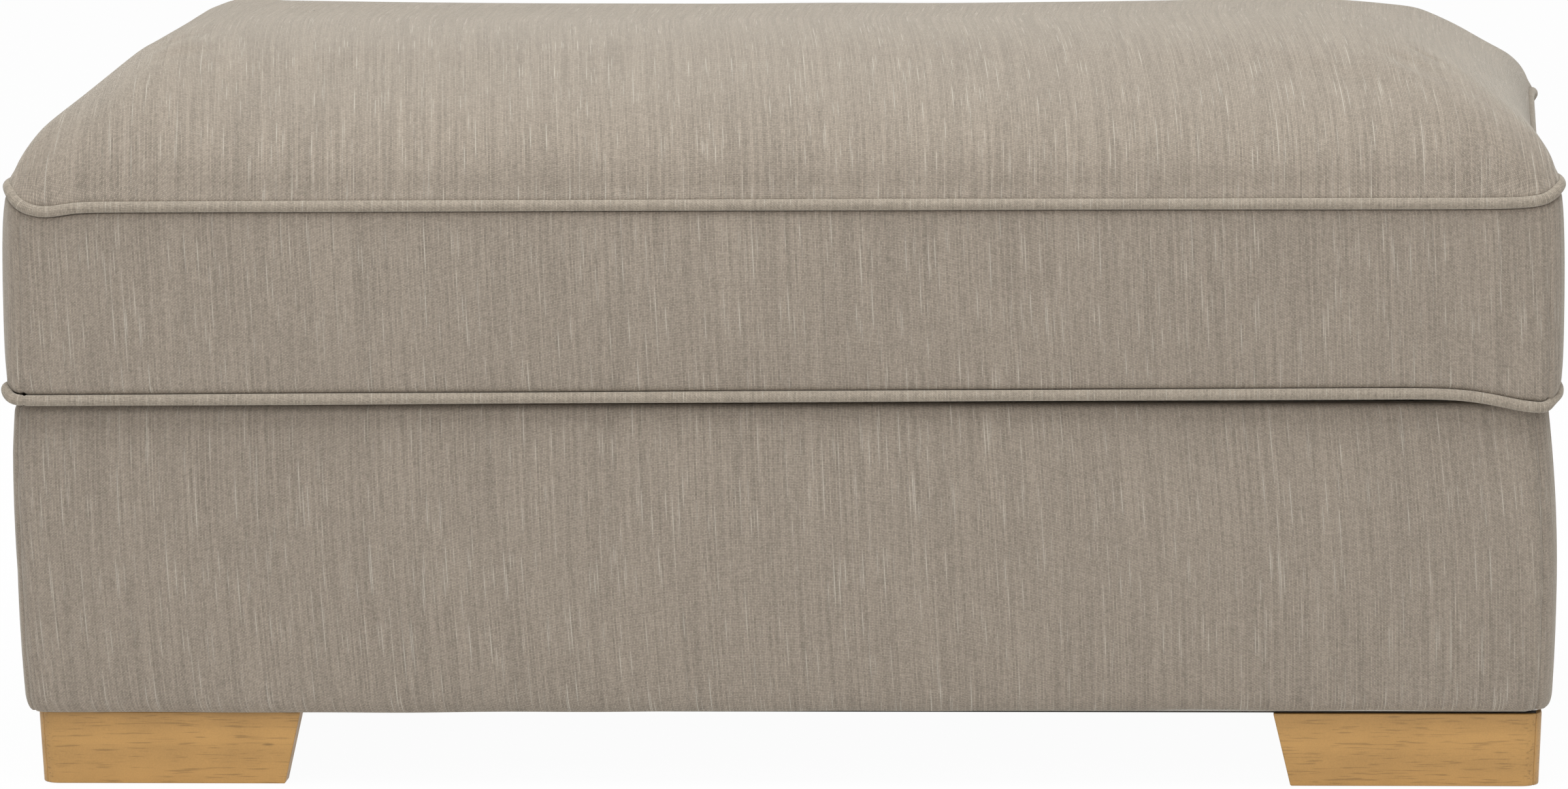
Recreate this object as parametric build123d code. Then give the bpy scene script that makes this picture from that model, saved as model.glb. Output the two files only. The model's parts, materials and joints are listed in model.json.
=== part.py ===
from build123d import *
import math
import os

# A fabric storage ottoman: an upholstered box on four bracket feet, closed by a deep piped cushion lid.
# The lid turns up on two hinges along the back, and two parallel-link stays guide it.
# Millimetres. The origin is on the floor under the middle, +X to the right, +Y to the back, +Z up.

# Overall sizes, over the piping, from the floor to the top of the crown
overall_width = 1000
overall_depth = 600
overall_height = 480

# Base box
base_height = 201
base_setback = 13
base_end_setback = 6
base_bulge = 6
base_corner_radius = 17
base_edge_rounding = 6
base_edge_height = 12
base_edge_shares = (0, 0.12, 0.4, 1)
base_side_shares = (0.2, 0.4, 0.6, 0.8)

# Fabric, padding and soft clearances
cover_thickness = 1.2
soft_clearance = 0.3
wadding_thickness = 10
cover_turn_in = 22
dust_cover_thickness = 0.5
dust_cover_inset = 12
lining_thickness = 0.8
floor_lining_thickness = 1.0

# Timber frame
panel_thickness = 15
frame_corner_radius = 12
post_size = 25
cleat_width = 20
cleat_height = 20
floor_panel_thickness = 9
mounting_block_size = 80

# Feet
foot_height = 48
foot_inset = 8
foot_front_length = 172
foot_side_length = 120
foot_board_thickness = 21
foot_face_taper = 3
foot_end_taper = 11
foot_corner_rounding = 12
foot_block_size = 62
foot_block_lift = 3
glide_radius = 8.5
glide_stand = 0.5

# Foot bolts and tee nuts
bolt_radius = 4
bolt_head_radius = 7
bolt_head_height = 5
bolt_hole_clearance = 0.4
counterbore_radius = 10
counterbore_depth = 14
bolt_end_gap = 2
nut_barrel_radius = 5.5
nut_barrel_length = 10
nut_flange_radius = 12
nut_flange_thickness = 1.5
thread_fit = 0.05

# Screws and staples
screw_radius = 2
screw_head_radius = 4
screw_head_height = 2
frame_screw_length = 34
frame_screw_inset = 40
hinge_screw_length = 10
stay_screw_length = 9
screw_fit = 0.05
staple_crown = 10
staple_width = 1.2
staple_height = 0.7
staple_pitch = 60
staple_inset = 8

# Lid cushion
band_height = 123
band_setback = 4
band_bulge = 4
band_corner_radius = 18
band_edge_corner_radius = 14
lid_board_thickness = 12
lid_board_setback = 18
lid_board_corner_radius = 10
lid_lining_setback = 24
foam_edge_rounding = 4
band_section_shares = (0, 0.08, 0.25, 0.5, 0.75, 0.92, 1)

# Crown of the lid: how far the rounded ends and the rounded front and back reach in
crown_side_reach = 137
crown_front_reach = 245
crown_corner_radius = 13
crown_corner_growth = 34
crown_setback = 3.5
crown_rounding_share = 2.2
crown_end_rounding_share = 1.7
crown_corner_limit_share = 0.9
crown_section_shares = (0, 0.15, 0.3, 0.45, 0.6, 0.73, 0.84, 0.92, 0.97, 1)
wrap_edge_rounding = 6

# Piping
piping_diameter = 7.5
piping_corner_radius = 11
piping_draw_in = 3
piping_flange_width = 16
piping_flange_thickness = 1.2
seam_gap = 0.2

# Hinges
hinge_axis_setback = 4
hinge_axis_drop = 6
hinge_end_distance = 190
hinge_length = 70
hinge_leaf_thickness = 2
hinge_leaf_gap = 0.6
hinge_leaf_reach = 34
hinge_knuckle_radius = 4
hinge_pin_radius = 2
hinge_pin_head_radius = 3
hinge_pin_head_height = 1
hinge_running_fit = 0.05
hinge_knuckle_gap = 0.4
hinge_base_jog = 6
hinge_lid_jog = 5.2
hinge_screw_spacing = 44

# Lid stays: each is an arm and a link that make a parallelogram with the base and the lid
stay_lid_reach = 150
stay_lid_drop = 8
stay_base_reach = 105
stay_base_drop = 75
stay_bar_width = 16
stay_bar_thickness = 2.5
stay_side_gap = 0.3
stay_plate_thickness = 2
stay_plate_height = 60
stay_stud_radius = 3
stay_stud_fit = 0.1
stay_open_pivot_fit = 0.35
stay_stud_head_radius = 5
stay_stud_head_height = 1.2
stay_ear_gap = 0.8
stay_flange_width = 22
stay_flange_length = 44
stay_screw_spacing = 28
stay_plate_screw_spacing = 40

# Rim bumpers
bumper_radius = 8
bumper_inset = 16
bumper_clearance = 0.3

# One overrun for every cut that goes right through, and the least bow that makes a side an arc
overrun = 5
least_bow = 0.001

# Heights worked out from the sizes above
base_bottom = foot_height + dust_cover_thickness
rim_top = base_bottom + base_height
lid_gap = hinge_leaf_thickness * 2 + hinge_leaf_gap
lid_underside = rim_top + lid_gap
flange_bottom = lid_underside + lining_thickness
board_bottom = flange_bottom + piping_flange_thickness
lower_piping_z = flange_bottom + piping_flange_thickness / 2
upper_piping_z = lower_piping_z + band_height
piping_radius = piping_diameter / 2
band_bottom = lower_piping_z + piping_radius + seam_gap
band_top = upper_piping_z - piping_radius - seam_gap
crown_bottom = upper_piping_z + piping_radius + seam_gap
frame_bottom = base_bottom + cover_thickness
frame_top = rim_top - cover_thickness
cleat_top = frame_bottom + cleat_height
floor_top = cleat_top + floor_panel_thickness
storage_bottom = floor_top + floor_lining_thickness

# Plan sizes worked out from the sizes above, as half widths and half depths
half_width = overall_width / 2
half_depth = overall_depth / 2
base_half_x = half_width - base_end_setback
base_half_y = half_depth - base_setback
padding_depth = cover_thickness + soft_clearance + wadding_thickness
frame_half_x = base_half_x - padding_depth
frame_half_y = base_half_y - padding_depth
inner_half_x = frame_half_x - panel_thickness
inner_half_y = frame_half_y - panel_thickness
hinge_axis_y = half_depth - hinge_axis_setback
hinge_axis_z = rim_top - hinge_axis_drop

sides = ("front", "back", "left", "right")
hands = (("left", -1), ("right", 1))


def block(x0, x1, y0, y1, z0, z1):
    """A box from its two corners."""
    return Pos((x0 + x1) / 2, (y0 + y1) / 2, (z0 + z1) / 2) * Box(abs(x1 - x0), abs(y1 - y0), abs(z1 - z0))


def slab(half_x, half_y, z0, z1):
    """A box centred on the origin in plan."""
    return block(-half_x, half_x, -half_y, half_y, z0, z1)


def rounded_slab(half_x, half_y, z0, z1, radius):
    """A centred box whose upright edges are rounded."""
    outline = plan_outline(half_x, half_y, radius, 0, z0)
    return Solid.extrude(Face(outline), Vector(0, 0, z1 - z0))


def rod(start, end, radius):
    """A round rod between two points."""
    start, end = Vector(*start), Vector(*end)
    return Solid.make_cylinder(radius, (end - start).length, Plane(start, z_dir=end - start))


def group(pieces):
    """Separate solids that share one node."""
    return Compound([solid for piece in pieces for solid in piece.solids()])


def side_arc(half_x, half_y, radius, bow):
    """Half the span and the height of a bowed side's tangent points, for the side along X."""
    reach = half_x - radius
    size = (reach ** 2 + bow ** 2) / (2 * abs(bow))
    lean = reach / size * radius
    rise = radius - radius * (size - abs(bow)) / size
    if bow > 0:
        return reach + lean, half_y - rise
    return reach - lean, half_y - rise


def side_edge(ends, middle, bow):
    """One side of a plan outline: straight, or an arc through its middle where it bows."""
    if abs(bow) < least_bow:
        return Edge.make_line(*ends)
    return Edge.make_three_point_arc(ends[0], middle, ends[1])


def plan_outline(half_x, half_y, radius, bow, z):
    """A rectangle with round corners at height z, whose four sides may bow out or in, tangent all round."""
    if abs(bow) < least_bow:
        along_x, along_y = (half_x - radius, half_y), (half_y - radius, half_x)
    else:
        along_x = side_arc(half_x, half_y, radius, bow)
        along_y = side_arc(half_y, half_x, radius, bow)
    diagonal = radius * (1 - math.sqrt(0.5))
    edges = []
    for sx, sy in ((-1, -1), (1, -1), (1, 1), (-1, 1)):
        on_x_side = Vector(sx * along_x[0], sy * along_x[1], z)
        on_y_side = Vector(sx * along_y[1], sy * along_y[0], z)
        corner = Vector(sx * (half_x - diagonal), sy * (half_y - diagonal), z)
        if sx * sy > 0:
            edges.append(Edge.make_three_point_arc(on_y_side, corner, on_x_side))
            following = Vector(-on_x_side.X, on_x_side.Y, z)
            edges.append(side_edge((on_x_side, following), Vector(0, sy * (half_y + bow), z), bow))
        else:
            edges.append(Edge.make_three_point_arc(on_x_side, corner, on_y_side))
            following = Vector(on_y_side.X, -on_y_side.Y, z)
            edges.append(side_edge((on_y_side, following), Vector(sx * (half_x + bow), 0, z), bow))
    return Wire(edges)


def soft_form(sections):
    """A closed form through plan outlines, each given as half sizes, corner, bow and height."""
    return Solid.make_loft([plan_outline(*section) for section in sections], True)


def side_wedge(side, half_x, half_y, z0, z1):
    """The region that belongs to one side, up to the diagonals through the corners."""
    wide, reach = half_x + overrun, half_y + overrun
    ridge = half_x - half_y
    tips = {
        "front": ((-wide, -reach), (wide, -reach), (ridge, 0), (-ridge, 0)),
        "right": ((wide, -reach), (wide, reach), (ridge, 0)),
    }
    if side in tips:
        points = tips[side]
    else:
        opposite = {"back": "front", "left": "right"}[side]
        points = [(-x, -y) for x, y in tips[opposite]]
    outline = Wire.make_polygon([Vector(x, y, z0 - overrun) for x, y in points], close=True)
    return Solid.extrude(Face(outline), Vector(0, 0, z1 - z0 + 2 * overrun))


def base_form(inset, z0, z1):
    """The padded outer form of the base, inset all round and cut to a height range."""
    low, high = z0 + base_edge_height, z1 - base_edge_height
    sections = []
    for edge_z, way in ((z0, 1), (z1, -1)):
        rows = []
        for share in base_edge_shares:
            pull = base_edge_rounding * (1 - math.sqrt(1 - (1 - share) ** 2))
            rows.append((pull, edge_z + way * base_edge_height * share))
        sections += rows if way > 0 else list(reversed(rows))
    middle = [(0, low + (high - low) * share) for share in base_side_shares]
    sections[len(base_edge_shares):len(base_edge_shares)] = middle
    outlines = []
    for pull, z in sections:
        share = (z - z0) / (z1 - z0)
        bow = base_bulge * 4 * share * (1 - share)
        radius = base_corner_radius - inset - pull
        outlines.append((base_half_x - inset - pull, base_half_y - inset - pull, radius, bow, z))
    return soft_form(outlines)


def base_covers():
    """The fabric round the base: four panels that meet at the corner seams and turn in above and below."""
    outer = base_form(0, base_bottom, rim_top)
    inner = base_form(cover_thickness, frame_bottom, frame_top)
    cavity = slab(inner_half_x, inner_half_y, frame_top - overrun, rim_top + overrun)
    mouth_x, mouth_y = base_half_x - cover_turn_in, base_half_y - cover_turn_in
    mouth = slab(mouth_x, mouth_y, base_bottom - overrun, frame_bottom + overrun)
    skin = outer - inner - cavity - mouth
    for side in sides:
        panel = skin & side_wedge(side, base_half_x, base_half_y, base_bottom, rim_top)
        yield f"base_cover_{side}", cut(panel, hinge_base_holes()) if side == "back" else panel


def base_paddings():
    """Wadding between the frame and the cover, crowned like the cover, one slab to a side."""
    form = base_form(cover_thickness + soft_clearance, frame_bottom, frame_top)
    low, high = frame_bottom - overrun, frame_top + overrun
    wadding = form - rounded_slab(frame_half_x, frame_half_y, low, high, frame_corner_radius)
    for side in sides:
        wedge = side_wedge(side, base_half_x, base_half_y, frame_bottom, frame_top)
        yield f"base_padding_{side}", wadding & wedge


def frame_screw_places():
    """Where a screw's head lies on a panel, and the way it goes in to a post."""
    heights = (floor_top + frame_screw_inset, frame_top - frame_screw_inset)
    post_middle = post_size / 2
    for sx in (-1, 1):
        for sy in (-1, 1):
            for index, z in enumerate(heights):
                stagger = screw_head_radius * (2 * index - 1)
                x = sx * (inner_half_x - post_middle)
                y = sy * (inner_half_y - post_middle)
                yield (x, sy * frame_half_y, z + stagger), (0, -sy, 0)
                yield (sx * frame_half_x, y, z - stagger), (-sx, 0, 0)


def screw(head, direction, length):
    """A countersunk wood screw, from the middle of its head's face."""
    plane = Plane(Vector(*head), z_dir=Vector(*direction))
    cone = Solid.make_cone(screw_head_radius, screw_radius, screw_head_height, plane)
    return cone + Solid.make_cylinder(screw_radius, length, plane)


def screw_hole(head, direction, length):
    """The room that a screw takes, with its fit."""
    way = Vector(*direction)
    plane = Plane(Vector(*head), z_dir=way)
    cone = Solid.make_cone(screw_head_radius + screw_fit, screw_radius + screw_fit, screw_head_height, plane)
    return cone + Solid.make_cylinder(screw_radius + screw_fit, length + screw_fit, plane)


def hinge_centres():
    """The two hinges' middles along X."""
    return [(name, sign * (half_width - hinge_end_distance)) for name, sign in hands]


def hinge_screw_places(centre_x):
    """The screws of one leaf, as x and y."""
    y = inner_half_y + panel_thickness / 2
    return [(centre_x + offset * hinge_screw_spacing / 2, y) for offset in (-1, 1)]


def hinge_base_holes():
    """Room for the base hinge screws, down from the leaf's face."""
    face = rim_top + hinge_leaf_thickness
    return [screw_hole((x, y, face), (0, 0, -1), hinge_screw_length)
            for name, centre in hinge_centres() for x, y in hinge_screw_places(centre)]


def hinge_lid_holes():
    """Room for the lid hinge screws, up from the leaf's face."""
    face = lid_underside - hinge_leaf_thickness
    return [screw_hole((x, y, face), (0, 0, 1), hinge_screw_length)
            for name, centre in hinge_centres() for x, y in hinge_screw_places(centre)]


def stay_pivots():
    """The stay's four pivots as y, z: on the base, on the lid, and the elbow where arm and link meet."""
    base = (hinge_axis_y - stay_base_reach, hinge_axis_z - stay_base_drop)
    lid = (hinge_axis_y - stay_lid_reach, hinge_axis_z - stay_lid_drop)
    elbow = (base[0] + lid[0] - hinge_axis_y, base[1] + lid[1] - hinge_axis_z)
    return base, lid, elbow


# Places of the stay's layers along X on the right-hand side, from the wall inwards
stay_wall_x = inner_half_x - lining_thickness
stay_plate_x = stay_wall_x - stay_plate_thickness
stay_arm_out = stay_plate_x - stay_side_gap
stay_arm_in = stay_arm_out - stay_bar_thickness
stay_link_out = stay_arm_in - stay_side_gap
stay_link_in = stay_link_out - stay_bar_thickness
stay_ear_out = stay_link_in - stay_ear_gap
stay_ear_in = stay_ear_out - stay_plate_thickness


def stay_plate_screw_places():
    """The heads of the screws that hold one stay plate to the side panel, as y, z."""
    y, z = stay_pivots()[0]
    return [(y, z + offset * stay_plate_screw_spacing / 2) for offset in (-1, 1)]


def stay_flange_screw_places():
    """The screws that hold one lid bracket, as x and y on the right-hand side."""
    y = stay_pivots()[1][0]
    x = stay_ear_in - stay_flange_width / 2
    return [(x, y + offset * stay_screw_spacing / 2) for offset in (-1, 1)]


def stay_base_holes(sign):
    """Room for the stay plate's screws in the panel, lining and plate of one side."""
    return [screw_hole((sign * stay_plate_x, y, z), (sign, 0, 0), stay_screw_length)
            for y, z in stay_plate_screw_places()]


def stay_lid_holes(sign):
    """Room for the lid bracket's screws."""
    face = lid_underside - stay_plate_thickness
    return [screw_hole((sign * x, y, face), (0, 0, 1), stay_screw_length)
            for x, y in stay_flange_screw_places()]


def cut(piece, cutters):
    """A piece with every cutter taken out of it."""
    for cutter in cutters:
        piece = piece - cutter
    return piece


def frame_panels():
    """Four plywood sides: front and back run the full width, and the ends stand between them."""
    holes = [screw_hole(head, way, frame_screw_length) for head, way in frame_screw_places()]
    body = rounded_slab(frame_half_x, frame_half_y, frame_bottom, frame_top, frame_corner_radius)
    reach_x, reach_y = frame_half_x + overrun, frame_half_y + overrun
    z0, z1 = frame_bottom - overrun, frame_top + overrun
    front = body & block(-reach_x, reach_x, -reach_y, -inner_half_y, z0, z1)
    back = body & block(-reach_x, reach_x, inner_half_y, reach_y, z0, z1)
    front_holes = [hole for hole in holes if hole.center().Y < -inner_half_y + post_size]
    yield "base_front_panel", cut(front, front_holes)
    back_holes = [hole for hole in holes if hole.center().Y > inner_half_y - post_size]
    yield "base_back_panel", cut(back, back_holes + hinge_base_holes())
    for name, sign in hands:
        x0, x1 = sign * inner_half_x, sign * frame_half_x
        end = block(x0, x1, -inner_half_y, inner_half_y, frame_bottom, frame_top)
        near = [hole for hole in holes if sign * hole.center().X > inner_half_x - post_size]
        yield f"base_{name}_panel", cut(end, near + stay_base_holes(sign))


def corner_posts():
    """Square posts in the four corners, on the floor panel, that the sides are screwed to."""
    holes = [screw_hole(head, way, frame_screw_length) for head, way in frame_screw_places()]
    posts = []
    for sx in (-1, 1):
        for sy in (-1, 1):
            x, y = sx * inner_half_x, sy * inner_half_y
            post = block(x - sx * post_size, x, y - sy * post_size, y, floor_top, frame_top)
            near = [hole for hole in holes if sx * hole.center().X > 0 and sy * hole.center().Y > 0]
            posts.append(cut(post, near))
    return group(posts)


def mounting_places():
    """The middles of the four blocks that the feet are bolted to."""
    depth = foot_inset + foot_board_thickness + foot_block_size / 2
    x, y = base_half_x - depth, base_half_y - depth
    return [(sx * x, sy * y) for sx in (-1, 1) for sy in (-1, 1)]


def floor_cleats():
    """Battens round the foot of the frame that carry the floor, between the mounting blocks."""
    reach_x = inner_half_x - mounting_block_size
    reach_y = inner_half_y - mounting_block_size
    battens = []
    for sign in (-1, 1):
        y = sign * inner_half_y
        x = sign * inner_half_x
        battens.append(block(-reach_x, reach_x, y - sign * cleat_width, y, frame_bottom, cleat_top))
        battens.append(block(x - sign * cleat_width, x, -reach_y, reach_y, frame_bottom, cleat_top))
    return group(battens)


def mounting_blocks():
    """Corner blocks under the floor, each with a tee nut pressed down into its top face."""
    blocks = []
    for x, y in mounting_places():
        sx, sy = math.copysign(1, x), math.copysign(1, y)
        outer_x, outer_y = sx * inner_half_x, sy * inner_half_y
        near_x, near_y = outer_x - sx * mounting_block_size, outer_y - sy * mounting_block_size
        piece = block(near_x, outer_x, near_y, outer_y, frame_bottom, cleat_top)
        low, high = (x, y, frame_bottom - overrun), (x, y, cleat_top + overrun)
        bore = rod(low, high, nut_barrel_radius + thread_fit)
        seat_floor = (x, y, cleat_top - nut_flange_thickness - thread_fit)
        seat = rod(seat_floor, high, nut_flange_radius + thread_fit)
        blocks.append(piece - bore - seat)
    return group(blocks)


def tee_nuts():
    """Threaded inserts for the foot bolts."""
    nuts = []
    for x, y in mounting_places():
        top = cleat_top
        flange = rod((x, y, top - nut_flange_thickness), (x, y, top), nut_flange_radius)
        barrel = rod((x, y, top - nut_flange_thickness - nut_barrel_length), (x, y, top), nut_barrel_radius)
        bore = rod((x, y, frame_bottom - overrun), (x, y, top + overrun), bolt_radius + thread_fit)
        nuts.append(flange + barrel - bore)
    return group(nuts)


def foot_bolts():
    """One bolt to a foot, up through its corner block into the tee nut."""
    bolts = []
    seat = glide_stand + foot_block_lift + counterbore_depth
    for x, y in mounting_places():
        head = rod((x, y, seat - bolt_head_height), (x, y, seat), bolt_head_radius)
        shank = rod((x, y, seat - bolt_head_height), (x, y, cleat_top - bolt_end_gap), bolt_radius)
        bolts.append(head + shank)
    return group(bolts)


def foot_corner_blocks():
    """The glue block inside each bracket foot, counterbored for its bolt."""
    blocks = []
    low = glide_stand + foot_block_lift
    reach = foot_block_size / 2
    for x, y in mounting_places():
        piece = block(x - reach, x + reach, y - reach, y + reach, low, foot_height)
        hole = rod((x, y, low - overrun), (x, y, foot_height + overrun), bolt_radius + bolt_hole_clearance)
        pocket = rod((x, y, low - overrun), (x, y, low + counterbore_depth), counterbore_radius)
        blocks.append(piece - hole - pocket)
    return group(blocks)


def foot_glides():
    """Nail-on glides: three round each bolt's pocket, so that each foot stands level."""
    reach = (counterbore_radius + foot_block_size / 2) / 2
    places = ((-1, -1), (1, -1), (-1, 1), (1, 1))
    discs = []
    for x, y in mounting_places():
        for sx, sy in places:
            if sx == -math.copysign(1, x) and sy == -math.copysign(1, y):
                continue
            centre = (x + sx * reach, y + sy * reach)
            discs.append(rod((*centre, 0), (*centre, glide_stand + foot_block_lift), glide_radius))
    return group(discs)


def bracket_foot(sx, sy):
    """A mitred bracket foot: a board along the front or back and a board along the end, tapered down."""
    corner_x, corner_y = base_half_x - foot_inset, base_half_y - foot_inset

    def outline(taper, end_taper, z):
        x0, y0 = corner_x - taper, corner_y - taper
        far_x = corner_x - foot_front_length + end_taper
        far_y = corner_y - foot_side_length + end_taper
        back_x, back_y = corner_x - foot_board_thickness, corner_y - foot_board_thickness
        radius = foot_corner_rounding
        diagonal = radius * (1 - math.sqrt(0.5))
        points = [(far_x, y0), (x0 - radius, y0), (x0 - diagonal, y0 - diagonal), (x0, y0 - radius),
                  (x0, far_y), (back_x, far_y), (back_x, back_y), (far_x, back_y)]
        places = [Vector(sx * x, sy * y, z) for x, y in points]
        edges = [Edge.make_line(places[0], places[1]),
                 Edge.make_three_point_arc(places[1], places[2], places[3])]
        edges += [Edge.make_line(a, b) for a, b in zip(places[3:], places[4:] + places[:1])]
        return Wire(edges)

    sole = outline(foot_face_taper, foot_end_taper, glide_stand)
    foot = Solid.make_loft([sole, outline(0, 0, foot_height)], True)
    far = foot_front_length + overrun
    low, tall = glide_stand - overrun, foot_height + 2 * overrun
    mitre = [(corner_x + overrun, corner_y + overrun), (corner_x - far, corner_y + overrun),
             (corner_x - far, corner_y - far)]
    face = Face(Wire.make_polygon([Vector(sx * x, sy * y, low) for x, y in mitre], close=True))
    region = Solid.extrude(face, Vector(0, 0, tall))
    return group([foot & region, foot - region])


def frame_screws():
    """The screws that hold the four sides to the corner posts."""
    return group([screw(head, way, frame_screw_length) for head, way in frame_screw_places()])


def storage_wall_lining():
    """Thin cloth on the inside of the four sides and round the posts."""
    def room(inset, z0, z1):
        notch = post_size
        shape = slab(inner_half_x - inset, inner_half_y - inset, z0, z1)
        for sx in (-1, 1):
            for sy in (-1, 1):
                x, y = sx * (inner_half_x - notch - inset), sy * (inner_half_y - notch - inset)
                shape = shape - block(x, sx * (inner_half_x + overrun), y, sy * (inner_half_y + overrun),
                                      z0 - overrun, z1 + overrun)
        return shape

    sleeve = room(0, floor_top, frame_top) - room(lining_thickness, floor_top - overrun, frame_top + overrun)
    return cut(sleeve, stay_base_holes(-1) + stay_base_holes(1))


def storage_floor_lining():
    """The cloth-covered card on the storage floor, notched round the posts."""
    inset = lining_thickness
    sheet = slab(inner_half_x - inset, inner_half_y - inset, floor_top, storage_bottom)
    for sx in (-1, 1):
        for sy in (-1, 1):
            x, y = sx * (inner_half_x - post_size - inset), sy * (inner_half_y - post_size - inset)
            sheet = sheet - block(x, sx * inner_half_x, y, sy * inner_half_y, floor_top - overrun,
                                  storage_bottom + overrun)
    return sheet


def dust_cover():
    """The thin cloth under the base, with a hole at each foot bolt."""
    half_x, half_y = base_half_x - dust_cover_inset, base_half_y - dust_cover_inset
    sheet = rounded_slab(half_x, half_y, foot_height, base_bottom, base_corner_radius)
    low, high = foot_height - overrun, base_bottom + overrun
    radius = bolt_radius + bolt_hole_clearance
    holes = [rod((x, y, low), (x, y, high), radius) for x, y in mounting_places()]
    return cut(sheet, holes)


def staple_row(half_x, half_y, keep_x, keep_y, face_z, way):
    """Staples along the four edges of a sheet, kept off the corners, standing on its face."""
    staples = []
    for along, across, keep in ((half_x, half_y, keep_x), (half_y, half_x, keep_y)):
        reach = along - keep
        count = max(1, int(2 * reach / staple_pitch))
        for sign in (-1, 1):
            for index in range(count):
                place = -reach + (index + 0.5) * 2 * reach / count
                low, high = place - staple_crown / 2, place + staple_crown / 2
                near, far = sign * (across - staple_width / 2), sign * (across + staple_width / 2)
                z = (face_z, face_z + way * staple_height)
                if along == half_x:
                    staples.append(block(low, high, near, far, *z))
                else:
                    staples.append(block(near, far, low, high, *z))
    return group(staples)


def dust_cover_staples():
    """Staples that hold the dust cover, between the feet."""
    inset = dust_cover_inset + staple_inset
    clear_x = foot_front_length + foot_inset - inset
    clear_y = foot_side_length + foot_inset - inset
    return staple_row(base_half_x - inset, base_half_y - inset, clear_x, clear_y, foot_height, -1)


def rim_bumpers():
    """Four soft buttons on the rim that the lid comes down on."""
    buttons = []
    for sx in (-1, 1):
        for sy in (-1, 1):
            x, y = sx * (frame_half_x - bumper_inset), sy * (frame_half_y - bumper_inset)
            buttons.append(rod((x, y, rim_top), (x, y, lid_underside - bumper_clearance), bumper_radius))
    return group(buttons)


def piping_loop(z, half_x, half_y, draw_in):
    """A piping cord with the flat flange that it is stapled or sewn in by."""
    edges = plan_outline(half_x, half_y, piping_corner_radius, -draw_in, z).edges()
    cord = None
    for edge in edges:
        profile = Face(Wire.make_circle(piping_radius, Plane(edge.position_at(0), z_dir=edge.tangent_at(0))))
        length = Solid.sweep(profile, edge)
        cord = length if cord is None else cord + length
    thickness = piping_flange_thickness
    outer = Face(plan_outline(half_x, half_y, piping_corner_radius, -draw_in, z - thickness / 2))
    inner = slab(half_x - piping_flange_width, half_y - piping_flange_width, z - overrun, z + overrun)
    flange = Solid.extrude(outer, Vector(0, 0, thickness)) - inner
    return cord + flange


def lower_piping():
    """The cord along the lid's bottom edge."""
    half_x, half_y = half_width - piping_radius, half_depth - piping_radius
    return piping_loop(lower_piping_z, half_x, half_y, piping_draw_in / 2)


def upper_piping():
    """The cord round the top panel, drawn in between the corners."""
    half_x, half_y = half_width - piping_radius, half_depth - piping_radius
    return piping_loop(upper_piping_z, half_x, half_y, piping_draw_in)


def band_section(inset, share):
    """The boxing band's outline at a share of the way from its lower edge to its upper edge."""
    swell = 4 * share * (1 - share)
    radius = band_edge_corner_radius + (band_corner_radius - band_edge_corner_radius) * swell
    bow = band_bulge * swell - piping_draw_in * (1 + share) / 2
    z = band_bottom + (band_top - band_bottom) * share
    return half_width - band_setback - inset, half_depth - band_setback - inset, radius - inset, bow, z


def band_panels():
    """The four boxing panels, bowed out in the middle, that meet at the corner seams."""
    outer = soft_form([band_section(0, share) for share in band_section_shares])
    inner = soft_form([band_section(cover_thickness, share) for share in band_section_shares])
    skin = outer - inner
    half_x, half_y = half_width - band_setback, half_depth - band_setback
    for side in sides:
        yield f"lid_band_{side}", skin & side_wedge(side, half_x, half_y, band_bottom, band_top)


def lid_foam_block():
    """The foam that fills the band, drawn in past the piping and rebated over the lid board's edge."""
    sections = [band_section(cover_thickness + soft_clearance, share) for share in band_section_shares]
    top = upper_piping_z - piping_flange_thickness / 2
    for index, height in ((0, board_bottom), (len(sections), top)):
        half_x, half_y, radius, bow, z = sections[index - 1 if index else 0]
        pull = foam_edge_rounding
        sections.insert(index, (half_x - pull, half_y - pull, radius, bow, height))
    return soft_form(sections) - lid_board_blank(overrun)


def lid_board_blank(extra_depth):
    """The lid board's outline, run down by a little more where it cuts its own room."""
    half_x, half_y = half_width - lid_board_setback, half_depth - lid_board_setback
    top = board_bottom + lid_board_thickness
    return rounded_slab(half_x, half_y, board_bottom - extra_depth, top, lid_board_corner_radius)


def lid_board():
    """The plywood board under the lid cushion, drilled for hinge and stay screws."""
    return cut(lid_board_blank(0), hinge_lid_holes() + stay_lid_holes(-1) + stay_lid_holes(1))


def lid_lining():
    """The cloth under the lid board."""
    half_x, half_y = half_width - lid_lining_setback, half_depth - lid_lining_setback
    sheet = rounded_slab(half_x, half_y, lid_underside, flange_bottom, lid_board_corner_radius)
    return cut(sheet, hinge_lid_holes() + stay_lid_holes(-1) + stay_lid_holes(1))


def lid_lining_staples():
    """Staples round the edge of the lid lining, clear of the hinge leaves."""
    inset = lid_lining_setback + staple_inset
    half_x, half_y = half_width - inset, half_depth - inset
    row = staple_row(half_x, half_y, staple_crown, staple_crown, lid_underside, -1)
    clear = [block(centre - hinge_length, centre + hinge_length, half_y - staple_crown, half_y + staple_crown,
                   lid_underside - overrun, lid_underside + overrun) for name, centre in hinge_centres()]
    bumper_x, bumper_y = frame_half_x - bumper_inset, frame_half_y - bumper_inset
    for sx in (-1, 1):
        for sy in (-1, 1):
            x, y = sx * bumper_x, sy * bumper_y
            reach = bumper_radius + staple_crown
            clear.append(block(x - reach, x + reach, y - reach, y + reach, lid_underside - overrun,
                               lid_underside + overrun))
    kept = [staple for staple in row.solids() if not any(is_near(staple, zone) for zone in clear)]
    return group(kept)


def is_near(piece, zone):
    """Whether a piece's middle lies in a zone's box."""
    middle, box = piece.center(), zone.bounding_box()
    return box.min.X < middle.X < box.max.X and box.min.Y < middle.Y < box.max.Y


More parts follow.
